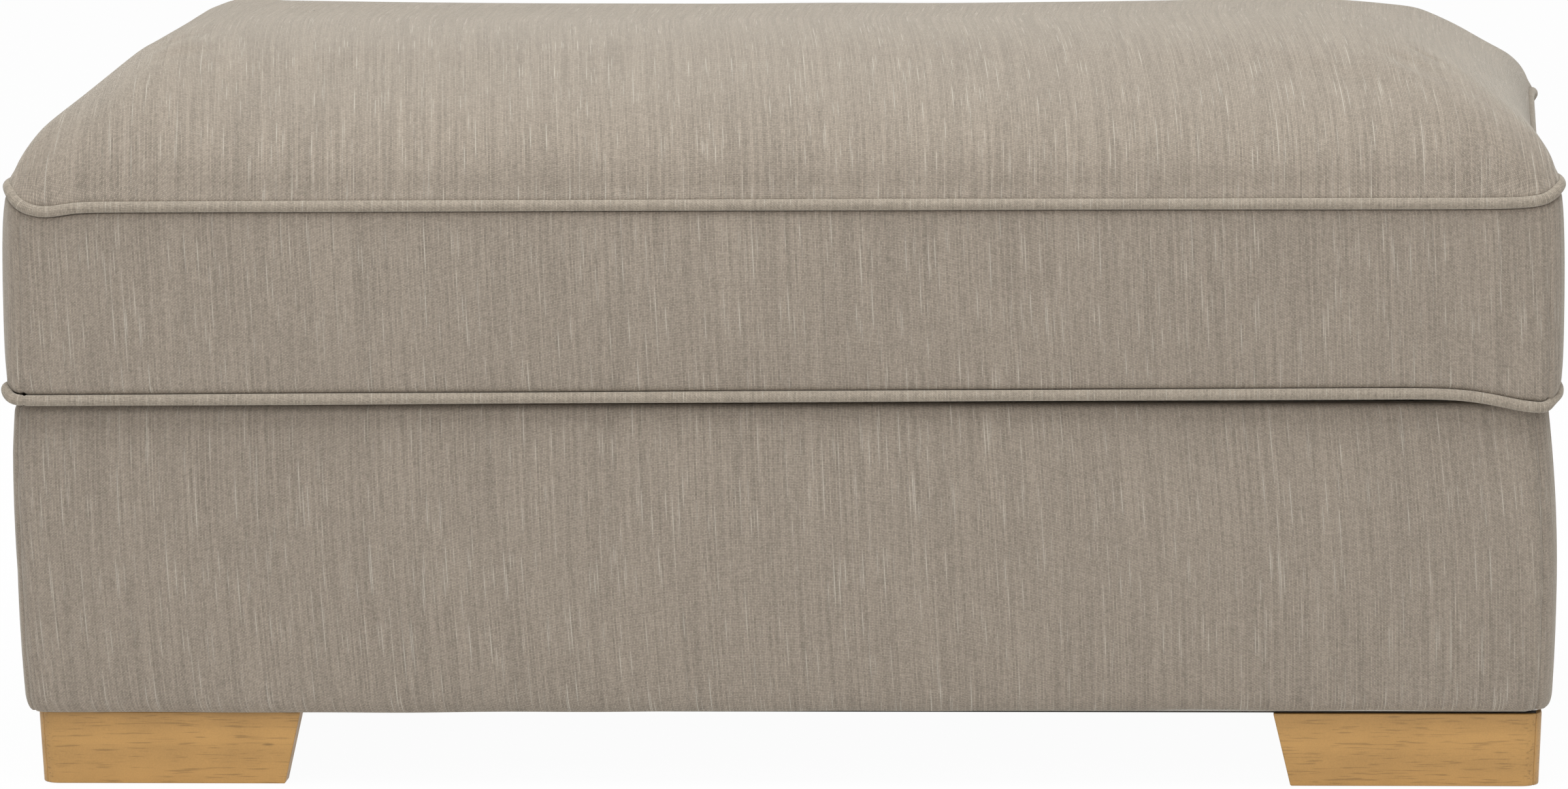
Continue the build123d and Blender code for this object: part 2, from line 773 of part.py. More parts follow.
def crown_section(share, inset):
    """The crown's plan outline at a share of its height above the top piping."""
    end_power, power = crown_end_rounding_share, crown_rounding_share
    drawn_end = 1 - (1 - share ** end_power) ** (1 / end_power)
    drawn = 1 - (1 - share ** power) ** (1 / power)
    top = overall_height - inset
    z = crown_bottom + (top - crown_bottom) * share
    edge_x, edge_y = half_width - crown_setback - inset, half_depth - crown_setback - inset
    half_x = edge_x - crown_side_reach * drawn_end
    half_y = edge_y - crown_front_reach * drawn
    radius = crown_corner_radius + crown_corner_growth * drawn - inset
    bow = -piping_draw_in * (1 - share)
    return half_x, half_y, min(radius, half_y * crown_corner_limit_share), bow, z


def lid_top_cover():
    """The crowned top panel of the cushion, as a skin."""
    outer = soft_form([crown_section(share, 0) for share in crown_section_shares])
    inner_sections = [crown_section(share, cover_thickness) for share in crown_section_shares]
    half_x, half_y, radius, bow, z = inner_sections[0]
    inner_sections[0] = (half_x, half_y, radius, bow, crown_bottom)
    return outer - soft_form(inner_sections)


def lid_fibre_wrap():
    """The crowned fibre filling under the top cover."""
    inset = cover_thickness + soft_clearance
    sections = [crown_section(share, inset) for share in crown_section_shares]
    half_x, half_y, radius, bow, z = sections[0]
    low = upper_piping_z + piping_flange_thickness / 2
    sections.insert(0, (half_x - wrap_edge_rounding, half_y - wrap_edge_rounding, radius, bow, low))
    return soft_form(sections)


def hinge_finger_spans(centre_x):
    """The X spans of the two outer base knuckles and the lid knuckle between them."""
    left, right = centre_x - hinge_length / 2, centre_x + hinge_length / 2
    third = (hinge_length - 2 * hinge_knuckle_gap) / 3
    base = ((left, left + third), (right - third, right))
    lid = ((left + third + hinge_knuckle_gap, right - third - hinge_knuckle_gap),)
    return base, lid


def hinge_leaf(plate_low, jog, finger_spans, centre_x, holes, clear_edge):
    """A leaf with a plate, a turned-down neck to each knuckle, and the knuckles."""
    left, right = centre_x - hinge_length / 2, centre_x + hinge_length / 2
    thickness = hinge_leaf_thickness
    axis = (hinge_axis_y, hinge_axis_z)
    plate_end = axis[0] - hinge_leaf_reach
    plate_high = plate_low + thickness
    leaf = block(left, right, plate_end, clear_edge, plate_low, plate_high)
    bore_radius = hinge_pin_radius + hinge_running_fit
    neck_y = axis[0] - jog
    low = axis[1] - thickness / 2
    for x0, x1 in finger_spans:
        bridge = block(x0, x1, clear_edge - thickness, neck_y + thickness, plate_low, plate_high)
        neck = block(x0, x1, neck_y, neck_y + thickness, low, plate_high)
        web = block(x0, x1, neck_y, axis[0] - hinge_pin_radius - thickness / 2, low, low + thickness)
        knuckle = rod((x0, *axis), (x1, *axis), hinge_knuckle_radius)
        bore = rod((x0 - overrun, *axis), (x1 + overrun, *axis), bore_radius)
        leaf = leaf + bridge + neck + web + knuckle - bore
    return cut(leaf, holes)


def hinge_leaves():
    """Both leaves of both hinges."""
    for name, centre in hinge_centres():
        base_spans, lid_spans = hinge_finger_spans(centre)
        rim_edge = base_half_y - base_edge_rounding / 2
        base_jog = hinge_base_jog + hinge_leaf_thickness / 2
        lid_jog = hinge_lid_jog + hinge_leaf_thickness / 2
        lid_low = lid_underside - hinge_leaf_thickness
        base_leaf = hinge_leaf(rim_top, base_jog, base_spans, centre, hinge_base_holes(), rim_edge)
        yield f"hinge_base_leaf_{name}", base_leaf
        lid_leaf = hinge_leaf(lid_low, lid_jog, lid_spans, centre, hinge_lid_holes(), rim_edge)
        yield f"hinge_lid_leaf_{name}", lid_leaf


def hinge_pins():
    """The two hinge pins, each with a head at both ends."""
    pins = []
    for name, centre in hinge_centres():
        reach = hinge_length / 2 + hinge_running_fit
        axis = (hinge_axis_y, hinge_axis_z)
        pin = rod((centre - reach, *axis), (centre + reach, *axis), hinge_pin_radius)
        for sign in (-1, 1):
            start = centre + sign * reach
            end = start + sign * hinge_pin_head_height
            pin = pin + rod((start, *axis), (end, *axis), hinge_pin_head_radius)
        pins.append(pin)
    return group(pins)


def hinge_screws(face_z, way):
    """The screws of one pair of leaves."""
    return group([screw((x, y, face_z), (0, 0, way), hinge_screw_length)
                  for name, centre in hinge_centres() for x, y in hinge_screw_places(centre)])


def stay_bar(sign, x_out, x_in, start, end, start_hole, end_hole):
    """A flat bar with round ends between two pivots given as y, z, with a hole at each end."""
    radius = stay_bar_width / 2
    along = Vector(0, end[0] - start[0], end[1] - start[1]).normalized()
    across = Vector(0, -along.Z, along.Y) * radius
    a, b = Vector(0, *start), Vector(0, *end)
    offset = Vector(sign * x_in, 0, 0)
    edges = [
        Edge.make_line(a + across + offset, b + across + offset),
        Edge.make_three_point_arc(b + across + offset, b + along * radius + offset, b - across + offset),
        Edge.make_line(b - across + offset, a - across + offset),
        Edge.make_three_point_arc(a - across + offset, a - along * radius + offset, a + across + offset),
    ]
    bar = Solid.extrude(Face(Wire(edges)), Vector(sign * (x_out - x_in), 0, 0))
    for place, hole in ((start, start_hole), (end, end_hole)):
        if hole:
            bar = bar - rod((sign * (x_in - overrun), *place), (sign * (x_out + overrun), *place), hole)
    return bar


def stud(sign, x_from, x_to, place):
    """A riveted stud from a plate's face through the bar beside it, with a head that keeps the bar on."""
    way = math.copysign(1, x_to - x_from)
    shank = rod((sign * x_from, *place), (sign * x_to, *place), stay_stud_radius)
    head_end = x_to + way * stay_stud_head_height
    return shank + rod((sign * x_to, *place), (sign * head_end, *place), stay_stud_head_radius)


def stay_base_plate(sign):
    """The plate on the storage wall that the arm turns on."""
    y, z = stay_pivots()[0]
    reach_y, reach_z = stay_bar_width / 2, stay_plate_height / 2
    plate = block(sign * stay_plate_x, sign * stay_wall_x, y - reach_y, y + reach_y, z - reach_z, z + reach_z)
    plate = cut(plate, stay_base_holes(sign))
    return plate + stud(sign, stay_plate_x, stay_arm_in - stay_side_gap, (y, z))


def stay_arm(sign):
    """The arm from the base plate to the elbow, which always lies parallel to the lid."""
    base, lid, elbow = stay_pivots()
    hole = stay_stud_radius + stay_stud_fit
    return stay_bar(sign, stay_arm_out, stay_arm_in, base, elbow, hole, hole)


def stay_link(sign):
    """The link from the elbow to the lid bracket, with the elbow's stud riveted in it."""
    base, lid, elbow = stay_pivots()
    hole = stay_stud_radius + stay_open_pivot_fit
    bar = stay_bar(sign, stay_link_out, stay_link_in, elbow, lid, None, hole)
    return bar + stud(sign, stay_link_out, stay_arm_out + stay_side_gap / 2, elbow)


def stay_lid_bracket(sign):
    """The bent bracket under the lid that the link hangs from."""
    y, z = stay_pivots()[1]
    ear_bottom = z - stay_bar_width / 2
    flange_top = lid_underside
    reach = stay_flange_length / 2
    flange = block(sign * (stay_ear_in - stay_flange_width), sign * stay_ear_out, y - reach, y + reach,
                   flange_top - stay_plate_thickness, flange_top)
    ear = block(sign * stay_ear_in, sign * stay_ear_out, y - stay_bar_width / 2, y + stay_bar_width / 2,
                ear_bottom, flange_top)
    bracket = cut(flange, stay_lid_holes(sign)) + ear
    return bracket + stud(sign, stay_ear_out, stay_link_out + stay_side_gap, (y, z))


def stay_screws():
    """The screws of the stay plates and of the lid brackets."""
    plate_screws = []
    bracket_screws = []
    face = lid_underside - stay_plate_thickness
    for name, sign in hands:
        for y, z in stay_plate_screw_places():
            plate_screws.append(screw((sign * stay_plate_x, y, z), (sign, 0, 0), stay_screw_length))
        for x, y in stay_flange_screw_places():
            bracket_screws.append(screw((sign * x, y, face), (0, 0, 1), stay_screw_length))
    yield "stay_base_screws", group(plate_screws)
    yield "stay_lid_screws", group(bracket_screws)


def all_parts():
    """Every node of the ottoman with its name."""
    yield from frame_panels()
    yield "corner_posts", corner_posts()
    yield "floor_panel", slab(inner_half_x, inner_half_y, cleat_top, floor_top)
    yield "floor_cleats", floor_cleats()
    yield "foot_mounting_blocks", mounting_blocks()
    yield "frame_screws", frame_screws()
    yield from base_paddings()
    yield from base_covers()
    yield "storage_wall_lining", storage_wall_lining()
    yield "storage_floor_lining", storage_floor_lining()
    yield "dust_cover", dust_cover()
    yield "dust_cover_staples", dust_cover_staples()
    for end_name, sy in (("front", -1), ("back", 1)):
        for name, sx in hands:
            yield f"foot_{end_name}_{name}", bracket_foot(sx, sy)
    yield "foot_corner_blocks", foot_corner_blocks()
    yield "foot_bolts", foot_bolts()
    yield "foot_glides", foot_glides()
    yield "tee_nuts", tee_nuts()
    yield "rim_bumpers", rim_bumpers()
    yield from hinge_leaves()
    yield "hinge_pins", hinge_pins()
    yield "hinge_base_screws", hinge_screws(rim_top + hinge_leaf_thickness, -1)
    yield "hinge_lid_screws", hinge_screws(lid_underside - hinge_leaf_thickness, 1)
    for name, sign in hands:
        yield f"stay_base_plate_{name}", stay_base_plate(sign)
        yield f"stay_arm_{name}", stay_arm(sign)
        yield f"stay_link_{name}", stay_link(sign)
        yield f"stay_lid_bracket_{name}", stay_lid_bracket(sign)
    yield from stay_screws()
    yield "lid_board", lid_board()
    yield "lid_lining", lid_lining()
    yield "lid_lining_staples", lid_lining_staples()
    yield "lid_foam_block", lid_foam_block()
    yield "lid_fibre_wrap", lid_fibre_wrap()
    yield "lid_top_cover", lid_top_cover()
    yield from band_panels()
    yield "upper_piping", upper_piping()
    yield "lower_piping", lower_piping()


def main():
    """Write one file to a node."""
    os.makedirs("parts", exist_ok=True)
    count = 0
    for name, shape in all_parts():
        export_step(shape, f"parts/{name}.step")
        count += 1
    base, lid, elbow = stay_pivots()
    print("nodes", count, "hinge axis", hinge_axis_y, hinge_axis_z, "stay pivots", base, lid, elbow)


main()
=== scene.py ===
"""A fabric storage ottoman: its covers, piping, filling, feet and finishes, laid out as an add-on."""
import json
import math

import bmesh
import bpy
import numpy as np
from bpy.props import FloatProperty, FloatVectorProperty, PointerProperty
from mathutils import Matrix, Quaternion, Vector


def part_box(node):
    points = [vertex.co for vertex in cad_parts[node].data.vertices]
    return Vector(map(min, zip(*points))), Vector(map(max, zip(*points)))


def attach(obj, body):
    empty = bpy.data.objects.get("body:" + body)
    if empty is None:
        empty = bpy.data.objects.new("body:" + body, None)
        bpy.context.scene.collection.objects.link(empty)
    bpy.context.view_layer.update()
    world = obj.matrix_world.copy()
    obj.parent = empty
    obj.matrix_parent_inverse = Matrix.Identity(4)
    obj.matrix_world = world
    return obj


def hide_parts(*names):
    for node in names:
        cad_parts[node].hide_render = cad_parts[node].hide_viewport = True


bl_info = {
    "name": "Storage ottoman",
    "version": (1, 0, 0),
    "blender": (4, 5, 0),
    "location": "3D View > Sidebar > Ottoman",
    "description": "Covers, piping, filling, feet and finishes of a fabric storage ottoman",
    "category": "Object",
}

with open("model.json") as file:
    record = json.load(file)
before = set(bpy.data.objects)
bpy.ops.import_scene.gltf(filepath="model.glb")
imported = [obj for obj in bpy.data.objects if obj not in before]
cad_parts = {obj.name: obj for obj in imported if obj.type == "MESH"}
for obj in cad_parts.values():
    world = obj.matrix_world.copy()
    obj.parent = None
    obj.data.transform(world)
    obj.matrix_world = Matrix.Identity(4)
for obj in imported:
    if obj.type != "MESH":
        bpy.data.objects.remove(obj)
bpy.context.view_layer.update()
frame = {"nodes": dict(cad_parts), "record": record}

# Places taken from the construction, in metres
MM = 0.001
PIPING_LOW, PIPING_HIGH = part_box("upper_piping")
LOWER_PIPING_LOW, LOWER_PIPING_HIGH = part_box("lower_piping")
BASE_LOW, BASE_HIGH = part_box("base_cover_front")
FRAME_LOW, FRAME_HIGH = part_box("base_front_panel")
LINING_LOW, LINING_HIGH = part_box("storage_wall_lining")
BOARD_LOW, BOARD_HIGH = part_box("lid_board")
LID_LINING_LOW, LID_LINING_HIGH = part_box("lid_lining")
DUST_LOW, DUST_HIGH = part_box("dust_cover")
FOOT_LOW, FOOT_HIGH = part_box("foot_front_left")
CARD_LOW, CARD_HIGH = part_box("storage_floor_lining")
POST_OUTER_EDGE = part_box("corner_posts")[1].x
STAY_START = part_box("stay_base_plate_left")[0].y
HALF_WIDTH, HALF_DEPTH = PIPING_HIGH.x, PIPING_HIGH.y
PIPING_RADIUS = (PIPING_HIGH.z - PIPING_LOW.z) / 2
UPPER_Z = (PIPING_HIGH.z + PIPING_LOW.z) / 2
LOWER_Z = (LOWER_PIPING_HIGH.z + LOWER_PIPING_LOW.z) / 2
CROWN_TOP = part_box("lid_top_cover")[1].z

# Half the gap that is left where rings of points close on a line
SLIT = 1e-6
SIDES = ("front", "right", "back", "left")
CORNERS = {"front_left": (-1, -1), "front_right": (1, -1), "back_right": (1, 1), "back_left": (-1, 1)}


def size(label, note, default):
    """A length that a user may change."""
    return FloatProperty(name=label, description=note, default=default, unit="LENGTH", precision=5)


def number(label, note, default):
    """A plain number that a user may change."""
    return FloatProperty(name=label, description=note, default=default)


def share(label, note, default):
    """A plain factor that a user may change."""
    return FloatProperty(name=label, description=note, default=default, subtype="FACTOR", precision=4)


def angle(label, note, degrees):
    """An angle that a user may change."""
    return FloatProperty(name=label, description=note, default=math.radians(degrees), subtype="ANGLE")


def colour(label, note, default):
    """A linear colour that a user may change."""
    return FloatVectorProperty(name=label, description=note, default=default, subtype="COLOR", size=3)


class OttomanCushion(bpy.types.PropertyGroup):
    """Sizes of the lid cushion."""

    crown_left_reach: size("Crown left reach", "How far the rounded left end reaches in", 0.1125)
    crown_right_reach: size("Crown right reach", "How far the rounded right end reaches in", 0.161)
    crown_front_reach: size("Crown front reach", "How far the rounded front reaches in", 0.262)
    crown_back_reach: size("Crown back reach", "How far the rounded back reaches in", 0.228)
    crown_corner_radius: size("Crown corner", "Corner radius of the top panel at its seam", 0.016)
    crown_corner_growth: size("Crown corner growth", "How much the corner radius grows to the top", 0.034)
    crown_setback: size("Crown setback", "How far the top panel's edge lies inside the piping", 0.0035)
    crown_left_power: share("Left roundness", "Power of the left end's profile, 2 for an ellipse", 1.64)
    crown_right_power: share("Right roundness", "Power of the right end's profile, 2 for an ellipse", 1.82)
    crown_front_power: share("Front roundness", "Power of the front's profile, 2 for an ellipse", 2.29)
    crown_back_power: share("Back roundness", "Power of the back's profile, 2 for an ellipse", 2.05)
    crown_sag: size("Crown sag", "How far the crown dips in its middle", 0.003)
    left_shoulder: size("Left shoulder", "How much fuller the crown's left shoulder is", 0.0115)
    right_shoulder: size("Right shoulder", "How much fuller the crown's right shoulder is", 0.0062)
    crown_swell: size("Crown swell", "The most that the filling moves the top panel out", 0.003)
    band_setback: size("Band setback", "How far the band lies inside the piping", 0.004)
    band_bulge: size("Band bulge", "How far the band bows out at its middle", 0.004)
    band_corner_bulge: size("Band corner bulge", "How far the band's ends bow out at mid height", 0.0035)
    left_swell: size("Left swell", "How far the band's left end swells out more", 0.0025)
    right_swell: size("Right swell", "How far the band's right end swells out more", 0.0)
    band_corner_radius: size("Band corner", "Corner radius of the band at mid height", 0.018)
    band_edge_radius: size("Band edge corner", "Corner radius of the band at its seams", 0.014)
    tuck_depth: size("Tuck depth", "How far a panel's edge turns in behind the piping", 0.0024)
    tuck_height: size("Tuck height", "Height of the stretch that turns in", 0.0045)
    cover_thickness: size("Cover thickness", "Thickness of the cover fabric", 0.0012)
    seam_depth: size("Seam depth", "How deep the corner seams draw in", 0.0012)
    seam_width: size("Seam width", "Half the width of the dip along a corner seam", 0.0016)
    seam_calm: size("Seam calm", "How far from a corner seam the padding's swells begin", 0.030)
    seam_turn_in: size("Seam turn-in", "How far the fabric turns in along a corner seam", 0.003)
    stitch_pitch: size("Stitch pitch", "Length of one stitch along a seam", 0.004)
    unevenness: size("Unevenness", "Height of the soft swells of the padding", 0.0008)
    left_seam: angle("Left seam", "Where the front left seam lies round its corner", 16)
    right_seam: angle("Right seam", "Where the front right seam lies round its corner", 28)


class OttomanPiping(bpy.types.PropertyGroup):
    """Sizes of the two piping cords."""

    corner_radius: size("Corner", "Corner radius of the cords", 0.016)
    left_draw: size("Left draw", "How far the left end is drawn in behind its corners", 0.009)
    right_draw: size("Right draw", "How far the right end is drawn in behind its corners", 0.004)
    draw_start: size("Draw start", "How far behind the corners the draw begins", 0.016)
    draw_reach: size("Draw reach", "How long the draw takes to grow", 0.024)
    draw_in: size("Draw in", "How far the upper cord is drawn in between the corners", 0.003)
    flange_width: size("Flange", "Width of the flat that is sewn in", 0.016)
    flange_thickness: size("Flange thickness", "Thickness of the flat that is sewn in", 0.0012)
    seam_gap: size("Seam gap", "Gap between a cord and the panel beside it", 0.0002)
    lift_left: size("Left lift", "How far the upper cord rises round the left corners", 0.0155)
    lift_right: size("Right lift", "How far the upper cord rises round the right corners", 0.0140)
    lift_start: size("Lift start", "How long the upper cord's rise takes", 0.0075)
    lift_place: size("Lift place", "How far past the corner the upper cord's rise is half done", 0.003)
    back_lift: size("Back lift", "How far the upper cord rises round the back corners", 0.0220)
    lower_lift_start: size("Lower lift start", "How long the lower cord's rise takes", 0.0033)
    lift_reach: size("Lift reach", "How far along the ends the rise is felt", 0.110)
    dip: size("Dip", "How far the upper cord dips on the front beside the left rise", 0.0032)
    dip_place: size("Dip place", "How far from the corner the dip lies", 0.024)
    dip_reach: size("Dip reach", "How long the dip is", 0.017)
    lower_lift: size("Lower lift", "How far the lower cord rises round the left corners", 0.0080)
    lower_left_corner: size("Lower left corner", "Corner radius of the lower cord at the left", 0.012)
    left_lobe: size("Left lobe", "How far the lower cord bulges out past its front left corner", 0.0040)
    right_lobe: size("Right lobe", "How far the lower cord bulges out past its front right corner", -0.0030)
    lobe_reach: size("Lobe reach", "How far from a corner the bulge is felt", 0.013)
    lower_tilt: size("Lower tilt", "How much higher the lower cord lies at the right", 0.002)
    droop: size("Droop", "How far the lower cord hangs near its front right corner", 0.0092)
    droop_place: size("Droop place", "How far from the corner the cord hangs lowest", 0.010)
    droop_reach: size("Droop reach", "How far from there the droop is felt", 0.032)
    joint_depth: size("Joint depth", "How deep the fold is where the cord's ends meet", 0.0007)
    joint_width: size("Joint width", "Half the width of that fold", 0.0009)


class OttomanBase(bpy.types.PropertyGroup):
    """Sizes of the upholstered base."""

    setback: size("Setback", "How far the front and back of the base lie inside the piping", 0.013)
    end_setback: size("End setback", "How far the ends of the base lie inside the piping", 0.006)
    bulge: size("Bulge", "How far the padded sides bow out", 0.006)
    corner_bulge: size("Corner bulge", "How far the corners bow out at mid height", 0.0035)
    corner_radius: size("Corner", "Corner radius of the base", 0.017)
    edge_rounding: size("Edge rounding", "How far the bottom edge rounds in", 0.004)
    rim_rounding: size("Rim rounding", "How far the top edge rounds in", 0.003)
    edge_height: size("Edge height", "Height of the rounded edges", 0.012)
    turn_in: size("Turn in", "How far the cover turns in under the base", 0.022)
    wadding_gap: size("Wadding gap", "Gap between the cover and the wadding", 0.0003)
    left_swell: size("Left swell", "How far the left end swells out more", 0.003)
    right_swell: size("Right swell", "How far the right end swells out more", -0.0025)
    left_lean: size("Left lean", "How far the left end leans in at its foot", 0.0035)
    right_lean: size("Right lean", "How far the right end draws in at its top", 0.003)
    left_seam: angle("Left seam", "Where the front left seam lies round its corner", 52)
    right_seam: angle("Right seam", "Where the front right seam lies round its corner", 28)
    edge_rise: size("Edge rise", "How far the bottom edge rises towards the middle and the right", 0.0026)
    edge_waves: size("Edge waves", "Height of the waves along the bottom edge", 0.0006)


class OttomanFeet(bpy.types.PropertyGroup):
    """Sizes of the bracket feet."""

    front_length: size("Front length", "Length of the board along the front or back", 0.172)
    side_length: size("Side length", "Length of the board along the end", 0.120)
    board_thickness: size("Board thickness", "Thickness of the boards", 0.021)
    face_taper: size("Face taper", "How far the faces lean in at the floor", 0.002)
    end_taper: size("End taper", "How far the free ends lean in at the floor", 0.011)
    corner_rounding: size("Corner rounding", "Radius of the outer corner", 0.012)
    edge_rounding: size("Edge rounding", "Radius of the eased edges", 0.0009)


class OttomanFinish(bpy.types.PropertyGroup):
    """Colours and finishes."""

    cover_colour: colour("Cover", "Ground colour of the cover fabric", (0.281, 0.235, 0.189))
    piping_colour: colour("Piping", "Ground colour of the piping", (0.308, 0.260, 0.207))
    slub_colour: colour("Slubs", "Colour of the thick pale yarns", (0.60, 0.55, 0.47))
    yarn_pitch: size("Yarn pitch", "Distance from yarn to yarn", 0.00104)
    rib_pitch: size("Rib pitch", "Distance between the faint slanting ribs of the weave", 0.00165)
    pick_pitch: size("Pick pitch", "Distance from one crossing yarn to the next", 0.0008)
    yarn_lean: share("Yarn lean", "How far the upright yarns lean to the left as they rise", 0.045)
    slub_length: size("Slub length", "Length of the thick stretches of yarn", 0.045)
    sheen: share("Sheen", "Pale sheen of the fabric at a low angle", 0.48)
    sheen_tint: colour("Sheen tint", "Colour of the fabric's sheen", (1.0, 0.93, 0.82))
    wadding_colour: colour("Wadding", "Colour of the polyester wadding", (0.86, 0.85, 0.82))
    foam_colour: colour("Foam", "Colour of the cushion foam", (0.85, 0.78, 0.55))
    lining_colour: colour("Lining", "Colour of the non-woven lining", (0.045, 0.043, 0.040))
    plywood_colour: colour("Plywood", "Colour of the birch plywood", (0.58, 0.42, 0.25))
    pine_colour: colour("Pine", "Colour of the softwood", (0.66, 0.48, 0.28))
    oak_colour: colour("Oak", "Colour of the lacquered oak", (0.445, 0.245, 0.074))
    steel_colour: colour("Steel", "Colour of the zinc plate", (0.55, 0.55, 0.53))
    bumper_colour: colour("Bumpers", "Colour of the rim buttons", (0.12, 0.11, 0.10))
    glide_colour: colour("Glides", "Colour of the nylon glides", (0.20, 0.19, 0.18))


class OttomanStage(bpy.types.PropertyGroup):
    """Camera and light."""

    azimuth: angle("Azimuth", "Camera angle round the ottoman", 3.8)
    elevation: angle("Elevation", "Camera angle above the floor", 7.4)
    roll: angle("Roll", "Camera roll", -0.55)
    distance: size("Distance", "Camera distance from its target", 5.2)
    target: FloatVectorProperty(name="Target", description="Point that the camera looks at",
                                default=(-0.017, 0, 0.2185), subtype="XYZ", size=3)
    lens: number("Lens", "Focal length in millimetres on a 36 mm sensor", 176.24)
    ambient: share("Ambient", "Strength of the light from all round", 0.60)
    key_power: number("Key power", "Power of the overhead soft light", 101)
    key_colour: colour("Key colour", "Colour of the overhead soft light", (0.95, 1.0, 1.02))
    fill_power: number("Fill power", "Power of the soft light from the front", 8)


GROUPS = {
    "ottoman_cushion": OttomanCushion,
    "ottoman_piping": OttomanPiping,
    "ottoman_base": OttomanBase,
    "ottoman_feet": OttomanFeet,
    "ottoman_finish": OttomanFinish,
    "ottoman_stage": OttomanStage,
}


def settings(name):
    """One of the groups of settings."""
    return getattr(bpy.context.scene, f"ottoman_{name}")


# Outlines in plan

# Grids as the coarse spacing, the fine spacing and how far from the corners the fine one reaches
CROWN_GRID = (9 * MM, 2.5 * MM, 30 * MM)
PANEL_GRID = (8 * MM, 0.6 * MM, 9 * MM)
BAND_ROWS = (6 * MM, 0.75 * MM, 6 * MM)
FOAM_GRID = (20 * MM, 6 * MM, 36 * MM)
CORD_GRID = (4 * MM, 0.6 * MM, 30 * MM)
SWELL_WAVES, SWELL_STEP = 7, 0.55


def seam_turns(side, seams):
    """How far a side runs round its first and its last corner, as angles."""
    front_left, front_right = seams
    even = math.pi / 4
    if side == "front":
        return front_left, front_right
    if side == "right":
        return math.pi / 2 - front_right, even
    if side == "back":
        return even, even
    return even, math.pi / 2 - front_left


def side_points(side, half_x, half_y, radius, bow, places, seams):
    """One side of a bowed, round-cornered rectangle: places run from -1 at one seam to 1 at the next."""
    along, across = (half_x, half_y) if side in ("front", "back") else (half_y, half_x)
    first, last = seam_turns(side, seams)
    straight = along - radius
    run = places * (straight + radius * np.where(places < 0, first, last))
    level = np.clip(run, -straight, straight)
    turn = np.clip(abs(run) - straight, 0, None) / radius
    belly = bow * (1 - (level / straight) ** 2) ** 2
    depth = across + belly - radius * (1 - np.cos(turn))
    place = level + np.sign(run) * radius * np.sin(turn)
    ways = {"front": (place, -depth), "right": (depth, place),
            "back": (-place, depth), "left": (-depth, -place)}
    x, y = np.broadcast_arrays(*ways[side])
    return x, y


def side_length(side, half_x, half_y):
    """Half the length of a side."""
    return half_x if side in ("front", "back") else half_y


def side_places(side, grid):
    """Places along one side of the ottoman, spaced by a grid."""
    return spaced(side_length(side, HALF_WIDTH, HALF_DEPTH), *grid)


def spaced(reach, coarse, fine, edge):
    """Places from -1 to 1 along twice a reach, finer within an edge of both ends."""
    near = np.linspace(0, edge, int(round(edge / fine)) + 1)
    count = max(2, int(round(2 * (reach - edge) / coarse)))
    middle = np.linspace(edge - reach, reach - edge, count + 1)
    places = np.concatenate([near - reach, middle[1:-1], (reach - near)[::-1]])
    return places / reach


def swells(x, y, seed, height, longest):
    """Soft swells of a padded surface, alike in each run."""
    rng = np.random.default_rng(seed)
    total = np.zeros(np.broadcast(x, y).shape)
    for index in range(SWELL_WAVES):
        wave = longest / (1 + SWELL_STEP * index)
        way = rng.uniform(0, math.tau)
        phase = rng.uniform(0, math.tau)
        run = x * math.cos(way) + y * math.sin(way)
        total = total + np.sin(run * math.tau / wave + phase) / (1 + index)
    return total * height / 2


def bulging(part):
    """0 at both edges of a face and 1 half way between them."""
    return 4 * part * (1 - part)


def toward_end(x, power):
    """A share that grows to 1 at the ends of the ottoman, the later the higher the power."""
    return np.clip(abs(x) / HALF_WIDTH, 0, 1) ** power


# Heights of the two cords

# How far from the outline the rise of a cord is at its full, and how softly it ends further in
CORNER_NEAR, CORNER_FADE = 6 * MM, 30 * MM
EXPONENT_LIMIT = 60
RIGHT_START_SHARE = 1.2
# The lower cord's rise at the right corners, as a share of that at the left, its place and its reach
LOWER_RIGHT_SHARE, LOWER_LIFT_PLACE, LOWER_REACH_SHARE = 0.15, 3 * MM, 0.7
# The droop reaches further along the front than along the end
FRONT_DROOP_SHARE, END_DROOP_SHARE = 1.15, 0.8
LOBE_PLACE = 4 * MM
DRAW_POWER = 6


def round_corner(x, y, sx, sy):
    """How far places lie past a corner, below zero along the front or back, and how near its outline."""
    in_x, in_y = HALF_WIDTH - sx * x, HALF_DEPTH - sy * y
    inside = np.clip(np.minimum(in_x, in_y) - CORNER_NEAR, 0, None)
    return in_y - in_x, np.exp(-(inside / CORNER_FADE) ** 2)


def corner_lift(past, place, start, reach):
    """A rise from 0 to 1 round a corner, half done at a place past it, that dies away along the end."""
    rise = 1 / (1 + np.exp(np.clip(-(past - place) / start, -EXPONENT_LIMIT, EXPONENT_LIMIT)))
    return rise * np.exp(-(np.clip(past, 0, None) / reach) ** 2)


def upper_line(x, y):
    """Height of the upper cord's middle."""
    piping = settings("piping")
    height = UPPER_Z
    for sx, sy in CORNERS.values():
        past, near = round_corner(x, y, sx, sy)
        lift, start, dip = piping.lift_left, piping.lift_start, piping.dip
        if sx > 0:
            lift, start, dip = piping.lift_right, RIGHT_START_SHARE * piping.lift_start, 0
        if sy > 0:
            lift = piping.back_lift
        height = height + near * lift * corner_lift(past, piping.lift_place, start, piping.lift_reach)
        height = height - near * dip * np.exp(-((past + piping.dip_place) / piping.dip_reach) ** 2)
    return height


